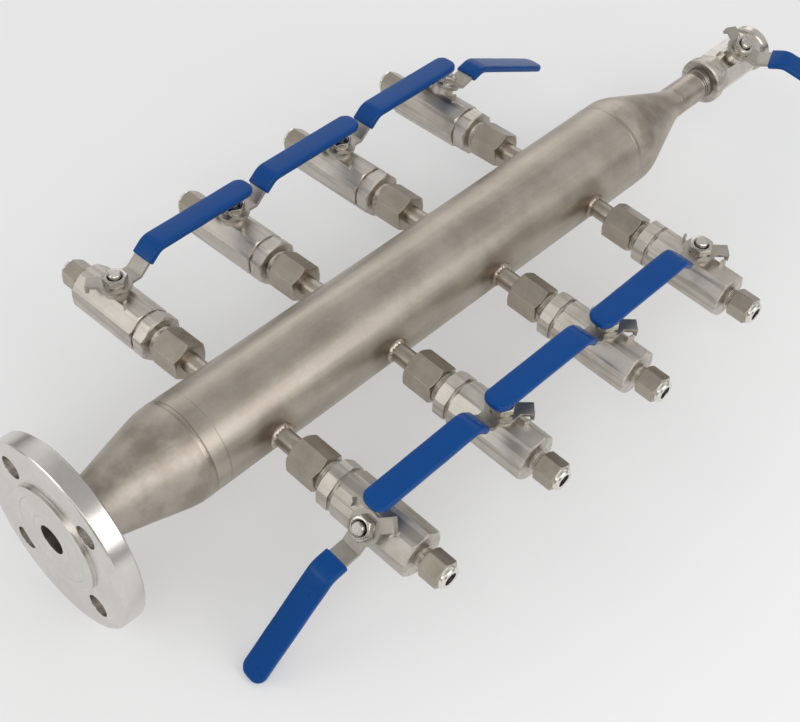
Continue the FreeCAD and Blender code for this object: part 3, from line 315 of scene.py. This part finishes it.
def turned_steel(name, tone, axis, roughness):
    """Turned steel: tool marks round the axis and softened edges."""
    graph = material_graph(name)
    tool = graph.noise(cells(axis, 2600.0, 14.0), 3.0, 0.6)
    clouds = graph.noise(90.0, 3.0)
    lightness = graph.spread(tool * 0.3 + clouds * 0.7, 0.35, 0.65)
    base = graph.blend(lightness, shade(tone, 0.88), shade(tone, 1.08))
    rough = roughness + 0.06 * tool + 0.08 * clouds
    normal = graph.bump(tool, 0.00003, 0.5, graph.rounded_edges(0.0004))
    return graph.finish(Base_Color=base, Metallic=1.0, Roughness=rough, Normal=normal)


def faced_flange(name, tone):
    """Flange faced in a lathe: fine rings round the bore, and a few scribed ones on the raised face."""
    graph = material_graph(name)
    x, y, z = graph.axes()
    radius = (y * y + z * z).math("SQRT")
    flat = {"noise_dimensions": "1D"}
    rings = graph.add("ShaderNodeTexNoise", flat, {"W": radius, "Scale": 2200.0, "Detail": 2.0})
    scribed = graph.add("ShaderNodeTexNoise", flat, {"W": radius, "Scale": 520.0, "Detail": 1.0})
    wear = graph.noise(60.0, 4.0, 0.65)
    lightness = graph.spread(rings * 0.3 + wear * 0.7, 0.36, 0.64)
    base = graph.blend(lightness, shade(tone, 0.92, 0.01), shade(tone, 1.04))
    inner = graph.spread(radius, 0.024, 0.030, 1.0, 0.15)
    scratch = graph.spread(scribed, 0.66, 0.72) * inner * graph.spread(wear, 0.42, 0.56)
    base = graph.blend(scratch * 0.5, base, shade(tone, 0.5, 0.03))
    rough = 0.17 + 0.08 * rings + 0.10 * wear
    normal = graph.bump(rings * 0.4 + scratch, 0.00005, 0.5, graph.rounded_edges(0.0006))
    return graph.finish(Base_Color=base, Metallic=1.0, Roughness=rough, Normal=normal)


def weld_metal(name, tone):
    """Weld metal: bright and brown by turns round the stubs, and in the pipe's own tone at its seams."""
    graph = material_graph(name)
    heat = graph.noise(70.0, 3.0, 0.6)
    ripple = graph.noise(700.0, 2.0)
    base = graph.blend(graph.spread(heat, 0.40, 0.60), shade(tone, 1.15, 0.02), shade(tone, 0.6, 0.12))
    middle = (HEADER_START + HEADER_END) / 2
    half = HEADER_END - middle
    seam = graph.spread(abs(graph.axes()[0] - middle), half - 0.006, half - 0.004)
    base = graph.blend(seam, base, shade(tone, 0.84, 0.03))
    normal = graph.bump(ripple, 0.0001, 0.5)
    return graph.finish(Base_Color=base, Metallic=1.0, Roughness=0.26 + 0.18 * heat, Normal=normal)


def dipped_vinyl(name, tone):
    """Glossy dipped vinyl with a faint orange peel and a little rubbing."""
    graph = material_graph(name)
    peel = graph.noise(420.0, 2.0)
    clouds = graph.noise(38.0, 4.0, 0.6)
    rubbing = graph.noise(160.0, 3.0, 0.7)
    base = graph.blend(clouds, shade(tone, 0.88), shade(tone, 1.12))
    rough = 0.22 + 0.12 * clouds + graph.spread(rubbing, 0.62, 0.78) * 0.08
    normal = graph.bump(peel, 0.00006, 0.3)
    return graph.finish(Base_Color=base, Metallic=0.0, Roughness=rough, Normal=normal, Specular_IOR_Level=0.18)


def seat_polymer(name, tone):
    """White seal material."""
    graph = material_graph(name)
    grain = graph.noise(300.0, 2.0)
    base = graph.blend(grain, shade(tone, 0.92), shade(tone, 1.04))
    return graph.finish(Base_Color=base, Roughness=0.45 + 0.1 * grain, Normal=graph.bump(grain, 0.00004, 0.4))


# Making pieces
def dress(node, material):
    """Give a carried-over piece its material."""
    slots = NODES[node].data.materials
    slots.clear()
    slots.append(material)


def smooth_piece(name, mesh, material, body, node):
    """Turn a bmesh into a smooth piece that rides on a body and stands for a CAD node."""
    data = bpy.data.meshes.new(name)
    bmesh.ops.recalc_face_normals(mesh, faces=mesh.faces)
    for face in mesh.faces:
        face.smooth = True
    for edge in mesh.edges:
        edge.smooth = len(edge.link_faces) == 2 and edge.calc_face_angle() < SHARP
    mesh.to_mesh(data)
    mesh.free()
    data.materials.append(material)
    piece = bpy.data.objects.new(name, data)
    bpy.context.scene.collection.objects.link(piece)
    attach(piece, body)
    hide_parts(node)


def skin(mesh, rings, ends="capped"):
    """Join rings of points with quads; the ends are capped, open or joined to each other."""
    loops = [[mesh.verts.new(point) for point in ring] for ring in rings]
    pairs = list(zip(loops, loops[1:]))
    if ends == "joined":
        pairs.append((loops[-1], loops[0]))
    for first, second in pairs:
        for index in range(len(first)):
            following = (index + 1) % len(first)
            mesh.faces.new((first[index], first[following], second[following], second[index]))
    if ends == "capped":
        mesh.faces.new(loops[0])
        mesh.faces.new(loops[-1])


def lever_frame(valve):
    """Where a lever turns: columns along the lever, across it and up the stem."""
    stem = STEMS[valve]
    vertices = NODES["grip_" + valve].data.vertices
    middle = sum((vertex.co for vertex in vertices), Vector()) / len(vertices) - PIVOTS[valve]
    lengthwise = (middle - stem * middle.dot(stem)).normalized()
    across = stem.cross(lengthwise)
    return Matrix.Translation(PIVOTS[valve]) @ Matrix((lengthwise, across, stem)).transposed().to_4x4()


def grip_section(half_width, half_height, corner, crown):
    """Points round a rounded rectangle whose long sides are slightly crowned."""
    corner = min(corner, 0.98 * half_height, 0.98 * half_width)
    quarter = []
    for step in range(CORNER_STEPS + 1):
        turn = math.pi / 2 * step / CORNER_STEPS
        quarter.append((half_width - corner * (1 - math.cos(turn)), half_height - corner * (1 - math.sin(turn))))
    for share in (0.65, 0.25):
        quarter.append(((half_width - corner) * share, half_height + crown * (1 - share ** 2)))
    return (quarter + [(-x, y) for x, y in reversed(quarter)]
            + [(-x, -y) for x, y in quarter] + [(x, -y) for x, y in reversed(quarter)])


def grip_stations(sizes):
    """Places along the grip as (along, up, slope, half width, half thickness), from its mouth to its tip."""
    half_width = sizes.width / 2
    half_height = sizes.thickness / 2
    slope = math.atan2(sizes.level - sizes.seat, sizes.knee - sizes.rise)
    tangent = sizes.bend * math.tan(slope / 2)
    mouth_up = sizes.seat + (sizes.mouth - sizes.rise) * math.tan(slope)
    rise = (sizes.knee - sizes.mouth) / math.cos(slope) - tangent
    stations = []
    # The mouth has a rounded lip: how far along the rise, and how far in from the full section
    for run, lip in ((0.0, 0.0006), (0.0002, 0.0002), (0.0007, 0.0), (rise / 2, 0.0), (rise, 0.0)):
        stations.append((sizes.mouth + run * math.cos(slope), mouth_up + run * math.sin(slope), slope,
                         half_width - lip, half_height - lip))
    for step in range(1, KNEE_STEPS + 1):
        angle = slope * (1 - step / KNEE_STEPS)
        stations.append((sizes.knee + tangent - sizes.bend * math.sin(angle),
                         sizes.level - sizes.bend * (1 - math.cos(angle)), angle, half_width, half_height))
    start = sizes.knee + tangent
    straight = sizes.reach - sizes.tip - start
    for step in range(1, STRAIGHT_STEPS + 1):
        stations.append((start + straight * step / STRAIGHT_STEPS, sizes.level, 0.0, half_width, half_height))
    for step in range(1, TIP_STEPS + 1):
        turn = math.pi / 2 * step / TIP_STEPS
        left = sizes.tip * (1 - math.sin(turn))
        thinning = max(0.0, 1 - left / sizes.edge)
        stations.append((sizes.reach - left, sizes.level, 0.0, half_width - sizes.tip * (1 - math.cos(turn)),
                         half_height - sizes.edge * (1 - math.sqrt(1 - thinning ** 2))))
    return stations


def nut_rings(sizes):
    """Rings of a washer with a chamfered nut on it, countersunk round the stud, about the stem."""
    flat = sizes.flats / 2
    washer_top = sizes.seat + sizes.washer
    top = washer_top + sizes.height
    turns = [2 * math.pi * index / NUT_SIDES for index in range(NUT_SIDES)]
    hexagon = [flat / math.cos((turn + math.pi / 6) % (math.pi / 3) - math.pi / 6) for turn in turns]

    def ring(radii, heights):
        return [Vector((radius * math.cos(turn), radius * math.sin(turn), height))
                for turn, radius, height in zip(turns, radii, heights)]

    def circle(radius, height):
        return ring([radius] * NUT_SIDES, [height] * NUT_SIDES)

    chamfered = flat - sizes.chamfer
    drops = [CHAMFER_SLOPE * max(0.0, radius - chamfered) for radius in hexagon]
    return [circle(sizes.bore, sizes.seat), circle(sizes.washer_radius, sizes.seat),
            circle(sizes.washer_radius, washer_top), ring(hexagon, [washer_top] * NUT_SIDES),
            ring(hexagon, [top - drop for drop in drops]), circle(chamfered, top),
            circle(sizes.bore + sizes.countersink, top), circle(sizes.bore, top - sizes.countersink)]


def bead(mesh, ripples, sweep, place):
    """Closed rippled bead; place(angle) gives the seam's point and the two directions the bead spreads in."""
    rings = []
    for step in range(ripples * RIPPLE_STEPS):
        angle = 2 * math.pi * step / (ripples * RIPPLE_STEPS)
        point, first, second = place(angle)
        ring = []
        for index in range(BEAD_STEPS + 1):
            turn = sweep * index / BEAD_STEPS
            wave = 1 + RIPPLE_HEIGHT * math.cos(ripples * angle + RIPPLE_LEAN * math.sin(turn * math.pi / sweep))
            ring.append(point + first * math.cos(turn) + second * (math.sin(turn) * wave))
        rings.append(ring)
    skin(mesh, rings, "joined")


def eased(corners):
    """Points along a polyline whose inner corners are rounded."""
    points = [Vector(corners[0])]
    for before, corner, after in zip(corners, corners[1:], corners[2:]):
        corner = Vector(corner)
        first = corner + (Vector(before) - corner).normalized() * EASED_RUN
        last = corner + (Vector(after) - corner).normalized() * EASED_RUN
        for step in range(EASED_STEPS + 1):
            share = step / EASED_STEPS
            points.append(first * (1 - share) ** 2 + corner * 2 * share * (1 - share) + last * share ** 2)
    return points + [Vector(corners[-1])]


def dented(point, cells_per_metre):
    """Move a point by the small unevenness that a formed or dipped surface has."""
    return point + noise.noise_vector(point * cells_per_metre) * DENT_DEPTH


def cone_piece(name, corners, material, node):
    """A reducer turned from its profile of (along, radius) points, with shallow dents."""
    rings = []
    turns = [2 * math.pi * index / CONE_SIDES for index in range(CONE_SIDES)]
    profile = eased(corners)
    for first, last in zip(profile, profile[1:]):
        for step in range(CONE_STEPS):
            along, radius = first.lerp(last, step / CONE_STEPS)
            ring = [Vector((along, radius * math.sin(turn), radius * math.cos(turn))) for turn in turns]
            rings.append([dented(point, CONE_DENTS) for point in ring])
    mesh = bmesh.new()
    skin(mesh, rings, "open")
    smooth_piece(name, mesh, material, "manifold", node)


def round_pipe(along, radius):
    """Points and outward directions of a circle round the header axis."""
    def point(angle):
        outward = Vector((0.0, math.cos(angle), math.sin(angle)))
        return Vector((along, 0.0, 0.0)) + outward * radius, outward
    return point


# Sizes and colours that can be changed
class ManifoldFinishes(bpy.types.PropertyGroup):
    pipe_tone: bpy.props.FloatVectorProperty(
        name="Pipe", description="Colour of the header, reducers and tubes", subtype="COLOR",
        default=(0.46, 0.415, 0.36))
    flange_tone: bpy.props.FloatVectorProperty(
        name="Flange", description="Colour of the machined flange", subtype="COLOR", default=(0.69, 0.665, 0.63))
    fitting_tone: bpy.props.FloatVectorProperty(
        name="Fittings", description="Colour of the compression nuts", subtype="COLOR",
        default=(0.43, 0.385, 0.325))
    valve_tone: bpy.props.FloatVectorProperty(
        name="Valves", description="Colour of the valve barrels", subtype="COLOR", default=(0.60, 0.565, 0.51))
    bright_tone: bpy.props.FloatVectorProperty(
        name="Bright parts", description="Colour of handle nuts and stems", subtype="COLOR",
        default=(0.56, 0.535, 0.49))
    plate_tone: bpy.props.FloatVectorProperty(
        name="Lever plates", description="Colour of the lever plates", subtype="COLOR", default=(0.43, 0.405, 0.36))
    grip_tone: bpy.props.FloatVectorProperty(
        name="Grips", description="Colour of the dipped grips", subtype="COLOR", default=(0.002, 0.059, 0.245))
    seal_tone: bpy.props.FloatVectorProperty(
        name="Seals", description="Colour of the seats and packings", subtype="COLOR", default=(0.80, 0.79, 0.75))


class ManifoldGrip(bpy.types.PropertyGroup):
    mouth: bpy.props.FloatProperty(
        name="Mouth", description="Stem to the mouth of the grip", unit="LENGTH", default=0.0208)
    rise: bpy.props.FloatProperty(
        name="Rise", description="Stem to the start of the lever's rise", unit="LENGTH", default=0.0136)
    seat: bpy.props.FloatProperty(
        name="Seat", description="Height of the lever plate at the stem", unit="LENGTH", default=0.0194)
    knee: bpy.props.FloatProperty(
        name="Knee", description="Stem to the end of the rise", unit="LENGTH", default=0.0286)
    level: bpy.props.FloatProperty(
        name="Level", description="Height of the lever plate in the grip", unit="LENGTH", default=0.0325)
    reach: bpy.props.FloatProperty(
        name="Reach", description="Stem to the tip of the grip", unit="LENGTH", default=0.104)
    width: bpy.props.FloatProperty(
        name="Width", description="Width of the grip", unit="LENGTH", default=0.0162)
    thickness: bpy.props.FloatProperty(
        name="Thickness", description="Thickness of the grip", unit="LENGTH", default=0.0044)
    edge: bpy.props.FloatProperty(
        name="Edge", description="Rounding of the grip's edges", unit="LENGTH", default=0.0016)
    tip: bpy.props.FloatProperty(
        name="Tip", description="Corner radius at the tip", unit="LENGTH", default=0.0066)
    bend: bpy.props.FloatProperty(
        name="Bend", description="Radius of the knee", unit="LENGTH", default=0.0095)
    crown: bpy.props.FloatProperty(
        name="Crown", description="How far the long faces stand proud", unit="LENGTH", default=0.00015)


class ManifoldNut(bpy.types.PropertyGroup):
    seat: bpy.props.FloatProperty(
        name="Seat", description="Height of the washer's underside", unit="LENGTH", default=0.0204)
    washer: bpy.props.FloatProperty(
        name="Washer", description="Thickness of the washer", unit="LENGTH", default=0.0008)
    washer_radius: bpy.props.FloatProperty(
        name="Washer radius", description="Outer radius of the washer", unit="LENGTH", default=0.0067)
    flats: bpy.props.FloatProperty(
        name="Flats", description="Across flats of the nut", unit="LENGTH", default=0.013)
    height: bpy.props.FloatProperty(
        name="Height", description="Height of the nut", unit="LENGTH", default=0.0043)
    chamfer: bpy.props.FloatProperty(
        name="Chamfer", description="Width of the chamfer on the nut", unit="LENGTH", default=0.0004)
    bore: bpy.props.FloatProperty(
        name="Bore", description="Radius of the bore round the stud", unit="LENGTH", default=0.0042)
    countersink: bpy.props.FloatProperty(
        name="Countersink", description="Width of the countersink", unit="LENGTH", default=0.0009)


class ManifoldWelds(bpy.types.PropertyGroup):
    seam_width: bpy.props.FloatProperty(
        name="Seam width", description="Width of a bead round the pipe", unit="LENGTH", default=0.0028)
    seam_height: bpy.props.FloatProperty(
        name="Seam height", description="How far that bead stands proud", unit="LENGTH", default=0.00014)
    fillet: bpy.props.FloatProperty(
        name="Fillet", description="Leg of the bead round an outlet stub", unit="LENGTH", default=0.0021)
    flange_fillet: bpy.props.FloatProperty(
        name="Flange fillet", description="Leg of the bead behind the flange", unit="LENGTH", default=0.0036)
    stub_radius: bpy.props.FloatProperty(
        name="Stub", description="Radius of an outlet stub", unit="LENGTH", default=0.006)
    cone_radius: bpy.props.FloatProperty(
        name="Cone", description="Radius of the inlet reducer at the flange", unit="LENGTH", default=0.01685)


class ManifoldStage(bpy.types.PropertyGroup):
    lens: bpy.props.FloatProperty(
        name="Lens", description="Focal length of the camera", subtype="DISTANCE_CAMERA", default=66.87)
    eye: bpy.props.FloatVectorProperty(
        name="Eye", description="Place of the camera", subtype="TRANSLATION", unit="LENGTH",
        default=(-0.21537, -0.41342, 0.62872))
    forward: bpy.props.FloatVectorProperty(
        name="Forward", description="Direction the camera looks in", subtype="DIRECTION",
        default=(0.50849, 0.44186, -0.73906))
    right: bpy.props.FloatVectorProperty(
        name="Right", description="Direction to the right of the picture", subtype="DIRECTION",
        default=(0.69236, -0.72009, 0.04585))
    floor_tone: bpy.props.FloatVectorProperty(
        name="Floor", description="Colour of the floor", subtype="COLOR", default=(0.90, 0.90, 0.90))
    floor_glow: bpy.props.FloatProperty(
        name="Floor glow", description="Share of the floor's tone that shows without lamps", default=0.25)
    horizon: bpy.props.FloatProperty(
        name="Horizon", description="Strength of the surroundings at floor level", default=0.05)
    walls: bpy.props.FloatProperty(
        name="Walls", description="Strength of the surroundings above that", default=0.72)
    ceiling: bpy.props.FloatProperty(
        name="Ceiling", description="Strength of the surroundings overhead", default=0.42)
    front_card: bpy.props.FloatProperty(
        name="Front card", description="Brightness of the lamp in front", default=1.9)
    back_card: bpy.props.FloatProperty(
        name="Back card", description="Brightness of the lamp behind", default=0.72)
    left_card: bpy.props.FloatProperty(
        name="Left card", description="Brightness of the low lamp at the left", default=1.9)
    side_softbox: bpy.props.FloatProperty(
        name="Side softbox", description="Brightness of the lamp beside the camera", default=1.7)


# Operators
class MANIFOLD_OT_header(bpy.types.Operator):
    """Finish the header pipe, its reducers, the inlet flange, the drain nipple and the outlet tubes"""
    bl_idname = "manifold.header"
    bl_label = "Header"

    def execute(self, context):
        tones = context.scene.manifold_finishes
        dress("header_pipe", pickled_pipe("pickled_pipe", tones.pipe_tone))
        cone = formed_cone("formed_cone", tones.pipe_tone)
        small = context.scene.manifold_welds.cone_radius
        cone_piece("inlet_cone", ((FLANGE_BACK, small), (INLET_NECK, small), (INLET_SHOULDER, HEADER_RADIUS),
                                  (HEADER_START, HEADER_RADIUS)), cone, "inlet_reducer")
        cone_piece("drain_cone", ((HEADER_END, HEADER_RADIUS), (DRAIN_SHOULDER, HEADER_RADIUS),
                                  (DRAIN_NECK, NIPPLE_RADIUS), (NIPPLE_SEAM, NIPPLE_RADIUS)),
                   cone, "drain_reducer")
        dress("drain_nipple", drawn_tube("drawn_nipple_painted_thread_shade", tones.pipe_tone, "X"))
        dress("outlet_stubs", drawn_tube("drawn_stub", tones.pipe_tone, "Y"))
        dress("inlet_flange", faced_flange("faced_flange", tones.flange_tone))
        return {"FINISHED"}


class MANIFOLD_OT_welds(bpy.types.Operator):
    """Lay rippled beads along the pipe's seams and round each outlet stub"""
    bl_idname = "manifold.welds"
    bl_label = "Welds"

    def execute(self, context):
        sizes = context.scene.manifold_welds
        mesh = bmesh.new()
        for along, radius, ripples in ((HEADER_START, HEADER_RADIUS, 120), (HEADER_END, HEADER_RADIUS, 120),
                                       (NIPPLE_SEAM, NIPPLE_RADIUS, 42)):
            circle = round_pipe(along, radius)

            def across_seam(angle):
                point, outward = circle(angle)
                return point, Vector((sizes.seam_width / 2, 0.0, 0.0)), outward * sizes.seam_height
            bead(mesh, ripples, math.pi, across_seam)
        neck = round_pipe(FLANGE_BACK, sizes.cone_radius)

        def behind_flange(angle):
            point, outward = neck(angle)
            return point, Vector((sizes.flange_fillet, 0.0, 0.0)), outward * sizes.flange_fillet
        bead(mesh, 60, math.pi / 2, behind_flange)
        for valve in OUTLETS:
            centre = Vector((PIVOTS[valve].x, 0.0, 0.0))
            outward = (PIVOTS[valve] - centre).normalized()
            upward = outward.cross(Vector((1.0, 0.0, 0.0)))

            def on_header(angle, radius):
                aside = Vector((math.cos(angle), 0.0, 0.0)) + upward * math.sin(angle)
                depth = math.sqrt(HEADER_RADIUS ** 2 - (radius * math.sin(angle)) ** 2)
                return centre + aside * radius + outward * depth

            def round_stub(angle):
                point = on_header(angle, sizes.stub_radius)
                return point, on_header(angle, sizes.stub_radius + sizes.fillet) - point, outward * sizes.fillet
            bead(mesh, 17, math.pi / 2, round_stub)
        tone = context.scene.manifold_finishes.pipe_tone
        smooth_piece("rippled_welds", mesh, weld_metal("weld_metal", tone), "manifold", "weld_beads")
        return {"FINISHED"}


class MANIFOLD_OT_fittings(bpy.types.Operator):
    """Finish the compression nuts and ferrules on both sides of the outlets"""
    bl_idname = "manifold.fittings"
    bl_label = "Fittings"

    def execute(self, context):
        tones = context.scene.manifold_finishes
        steel = bar_steel("fitting_steel", tones.fitting_tone, "Y", FITTING_ROUGHNESS)
        for node in ("inlet_nuts", "inlet_ferrules", "outlet_ferrules", "gland_rings"):
            dress(node, steel)
        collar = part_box("outlet_nuts")[1].y - BRIGHT_COLLAR
        dress("outlet_nuts", bar_steel("collared_steel", tones.fitting_tone, "Y", FITTING_ROUGHNESS, collar))
        return {"FINISHED"}


class MANIFOLD_OT_valves(bpy.types.Operator):
    """Finish the valve barrels, end caps and seals"""
    bl_idname = "manifold.valves"
    bl_label = "Valves"

    def execute(self, context):
        tones = context.scene.manifold_finishes
        # The barrels and end caps carry painted dark reflection streaks
        barrel = bar_steel("barrel_steel_painted_reflections", tones.valve_tone, "Y", BARREL_ROUGHNESS, streaks=BARREL_STREAKS)
        for valve in OUTLETS:
            dress("valve_body_" + valve, barrel)
        dress("end_caps", barrel)
        dress("valve_body_drain", turned_steel("drain_steel", tones.valve_tone, "X", DRAIN_ROUGHNESS))
        seal = seat_polymer("seat_polymer", tones.seal_tone)
        dress("ball_seats", seal)
        dress("stem_packings", seal)
        return {"FINISHED"}


class MANIFOLD_OT_levers(bpy.types.Operator):
    """Finish the lever plates, their nuts and stems"""
    bl_idname = "manifold.levers"
    bl_label = "Levers"

    def execute(self, context):
        tones = context.scene.manifold_finishes
        plate = bar_steel("plate_steel", tones.plate_tone, "X", PLATE_ROUGHNESS)
        bright = turned_steel("bright_steel", tones.bright_tone, "Z", BRIGHT_ROUGHNESS)
        for valve in VALVES:
            dress("lever_" + valve, plate)
            dress("stem_" + valve, bright)
            turn = lever_frame(valve)
            rings = [[turn @ point for point in ring] for ring in nut_rings(context.scene.manifold_nut)]
            mesh = bmesh.new()
            skin(mesh, rings, "joined")
            smooth_piece("hexagon_nut_" + valve, mesh, bright, "handle_" + valve,
                         "handle_nut_" + valve)
        return {"FINISHED"}


class MANIFOLD_OT_grips(bpy.types.Operator):
    """Mould a soft-edged blue grip over each lever"""
    bl_idname = "manifold.grips"
    bl_label = "Grips"

    def execute(self, context):
        sizes = context.scene.manifold_grip
        vinyl = dipped_vinyl("dipped_vinyl", context.scene.manifold_finishes.grip_tone)
        stations = grip_stations(sizes)
        for valve in VALVES:
            turn = lever_frame(valve)
            rings = []
            for along, up, slope, half_width, half_height in stations:
                ring = []
                for across, out in grip_section(half_width, half_height, sizes.edge, sizes.crown):
                    point = turn @ Vector((along - out * math.sin(slope), across, up + out * math.cos(slope)))
                    ring.append(dented(point, GRIP_DENTS))
                rings.append(ring)
            mesh = bmesh.new()
            skin(mesh, rings)
            smooth_piece("dipped_grip_" + valve, mesh, vinyl, "handle_" + valve, "grip_" + valve)
        return {"FINISHED"}


def softbox(name, place, width, height, radiance):
    """A large soft lamp that faces the middle of the manifold; radiance 1 is as bright as white paper."""
    data = bpy.data.lights.new(name, "AREA")
    data.shape = "RECTANGLE"
    data.size = width
    data.size_y = height
    data.energy = radiance * math.pi * width * height
    lamp = bpy.data.objects.new(name, data)
    lamp.location = place
    middle = (CAD_BOX[0] + CAD_BOX[1]) / 2
    lamp.rotation_euler = (lamp.location - middle).to_track_quat("Z", "Y").to_euler()
    bpy.context.scene.collection.objects.link(lamp)


class MANIFOLD_OT_stage(bpy.types.Operator):
    """Build the floor, the soft lamps, the world and the camera"""
    bl_idname = "manifold.stage"
    bl_label = "Stage"

    def execute(self, context):
        stage = context.scene.manifold_stage
        level = CAD_BOX[0].z
        corners = ((-1, -1), (1, -1), (1, 1), (-1, 1))
        mesh = bpy.data.meshes.new("floor")
        mesh.from_pydata([(x * FLOOR_REACH, y * FLOOR_REACH, level) for x, y in corners], [], [(0, 1, 2, 3)])
        floor = bpy.data.objects.new("floor", mesh)
        context.scene.collection.objects.link(floor)
        graph = material_graph("floor_paper")
        grain = graph.noise(9.0, 3.0)
        # Part of the floor's tone is a glow that only the camera and mirrors see, so shadows stay soft
        camera_ray = graph.add("ShaderNodeLightPath", output="Is Camera Ray")
        seen = camera_ray.math("MAXIMUM", graph.add("ShaderNodeLightPath", output="Is Glossy Ray"))
        paper = graph.blend(grain, shade(stage.floor_tone, 0.99), shade(stage.floor_tone, 1.01))
        base = graph.blend(seen, paper, shade(stage.floor_tone, 1 - stage.floor_glow))
        glow = graph.blend(seen, (0.0, 0.0, 0.0, 1.0), shade(stage.floor_tone, stage.floor_glow))
        mesh.materials.append(graph.finish(Base_Color=base, Emission_Color=glow, Emission_Strength=1.0,
                                           Roughness=0.9, Metallic=0.0, Specular_IOR_Level=0.1))

        # The surroundings are dark at floor level, light above it and dimmer overhead
        sky = Graph(bpy.data.worlds.new("studio"), "Generated")
        upward = sky.axes()[2]
        walls = sky.blend(sky.spread(upward, 0.03, 0.32), shade(WHITE, stage.horizon), shade(WHITE, stage.walls))
        light = sky.blend(sky.spread(upward, 0.65, 1.0), walls, shade(WHITE, stage.ceiling))
        backdrop = sky.add("ShaderNodeBackground", None, {"Color": light})
        sky.add("ShaderNodeOutputWorld", None, {"Surface": backdrop})
        context.scene.world = sky.owner
        for name, place, width, height in LAMPS:
            softbox(name, place, width, height, getattr(stage, name))

        camera = bpy.data.cameras.new("camera")
        camera.sensor_width = SENSOR_WIDTH
        camera.lens = stage.lens
        eye = bpy.data.objects.new("camera", camera)
        right = Vector(stage.right).normalized()
        forward = Vector(stage.forward).normalized()
        up = right.cross(forward).normalized()
        turn = Matrix((right, up, -forward)).transposed().to_4x4()
        eye.matrix_world = Matrix.Translation(stage.eye) @ turn
        context.scene.collection.objects.link(eye)
        context.scene.camera = eye
        context.scene.view_settings.view_transform = "Standard"
        return {"FINISHED"}


class MANIFOLD_PT_panel(bpy.types.Panel):
    """Lists the manifold's pieces and finishes"""
    bl_label = "Manifold"
    bl_idname = "MANIFOLD_PT_panel"
    bl_space_type = "VIEW_3D"
    bl_region_type = "UI"
    bl_category = "Manifold"

    def draw(self, context):
        for operator in OPERATORS:
            self.layout.operator(operator.bl_idname)
        for name in GROUPS:
            group = getattr(context.scene, name)
            for setting in group.__annotations__:
                self.layout.prop(group, setting)


OPERATORS = (MANIFOLD_OT_header, MANIFOLD_OT_welds, MANIFOLD_OT_fittings, MANIFOLD_OT_valves,
             MANIFOLD_OT_levers, MANIFOLD_OT_grips, MANIFOLD_OT_stage)
GROUPS = {"manifold_finishes": ManifoldFinishes, "manifold_grip": ManifoldGrip, "manifold_nut": ManifoldNut,
          "manifold_welds": ManifoldWelds, "manifold_stage": ManifoldStage}


def register():
    """Add the property groups, operators and panel."""
    for item in (*GROUPS.values(), *OPERATORS, MANIFOLD_PT_panel):
        bpy.utils.register_class(item)
    for name, group in GROUPS.items():
        setattr(bpy.types.Scene, name, bpy.props.PointerProperty(type=group))


def unregister():
    """Take them away again."""
    for name in GROUPS:
        delattr(bpy.types.Scene, name)
    for item in reversed((*GROUPS.values(), *OPERATORS, MANIFOLD_PT_panel)):
        bpy.utils.unregister_class(item)


def main():
    """Build everything in order."""
    noise.seed_set(NOISE_SEED)
    register()
    bpy.ops.manifold.header()
    bpy.ops.manifold.welds()
    bpy.ops.manifold.fittings()
    bpy.ops.manifold.valves()
    bpy.ops.manifold.levers()
    bpy.ops.manifold.grips()
    bpy.ops.manifold.stage()


if __name__ == "__main__":
    main()
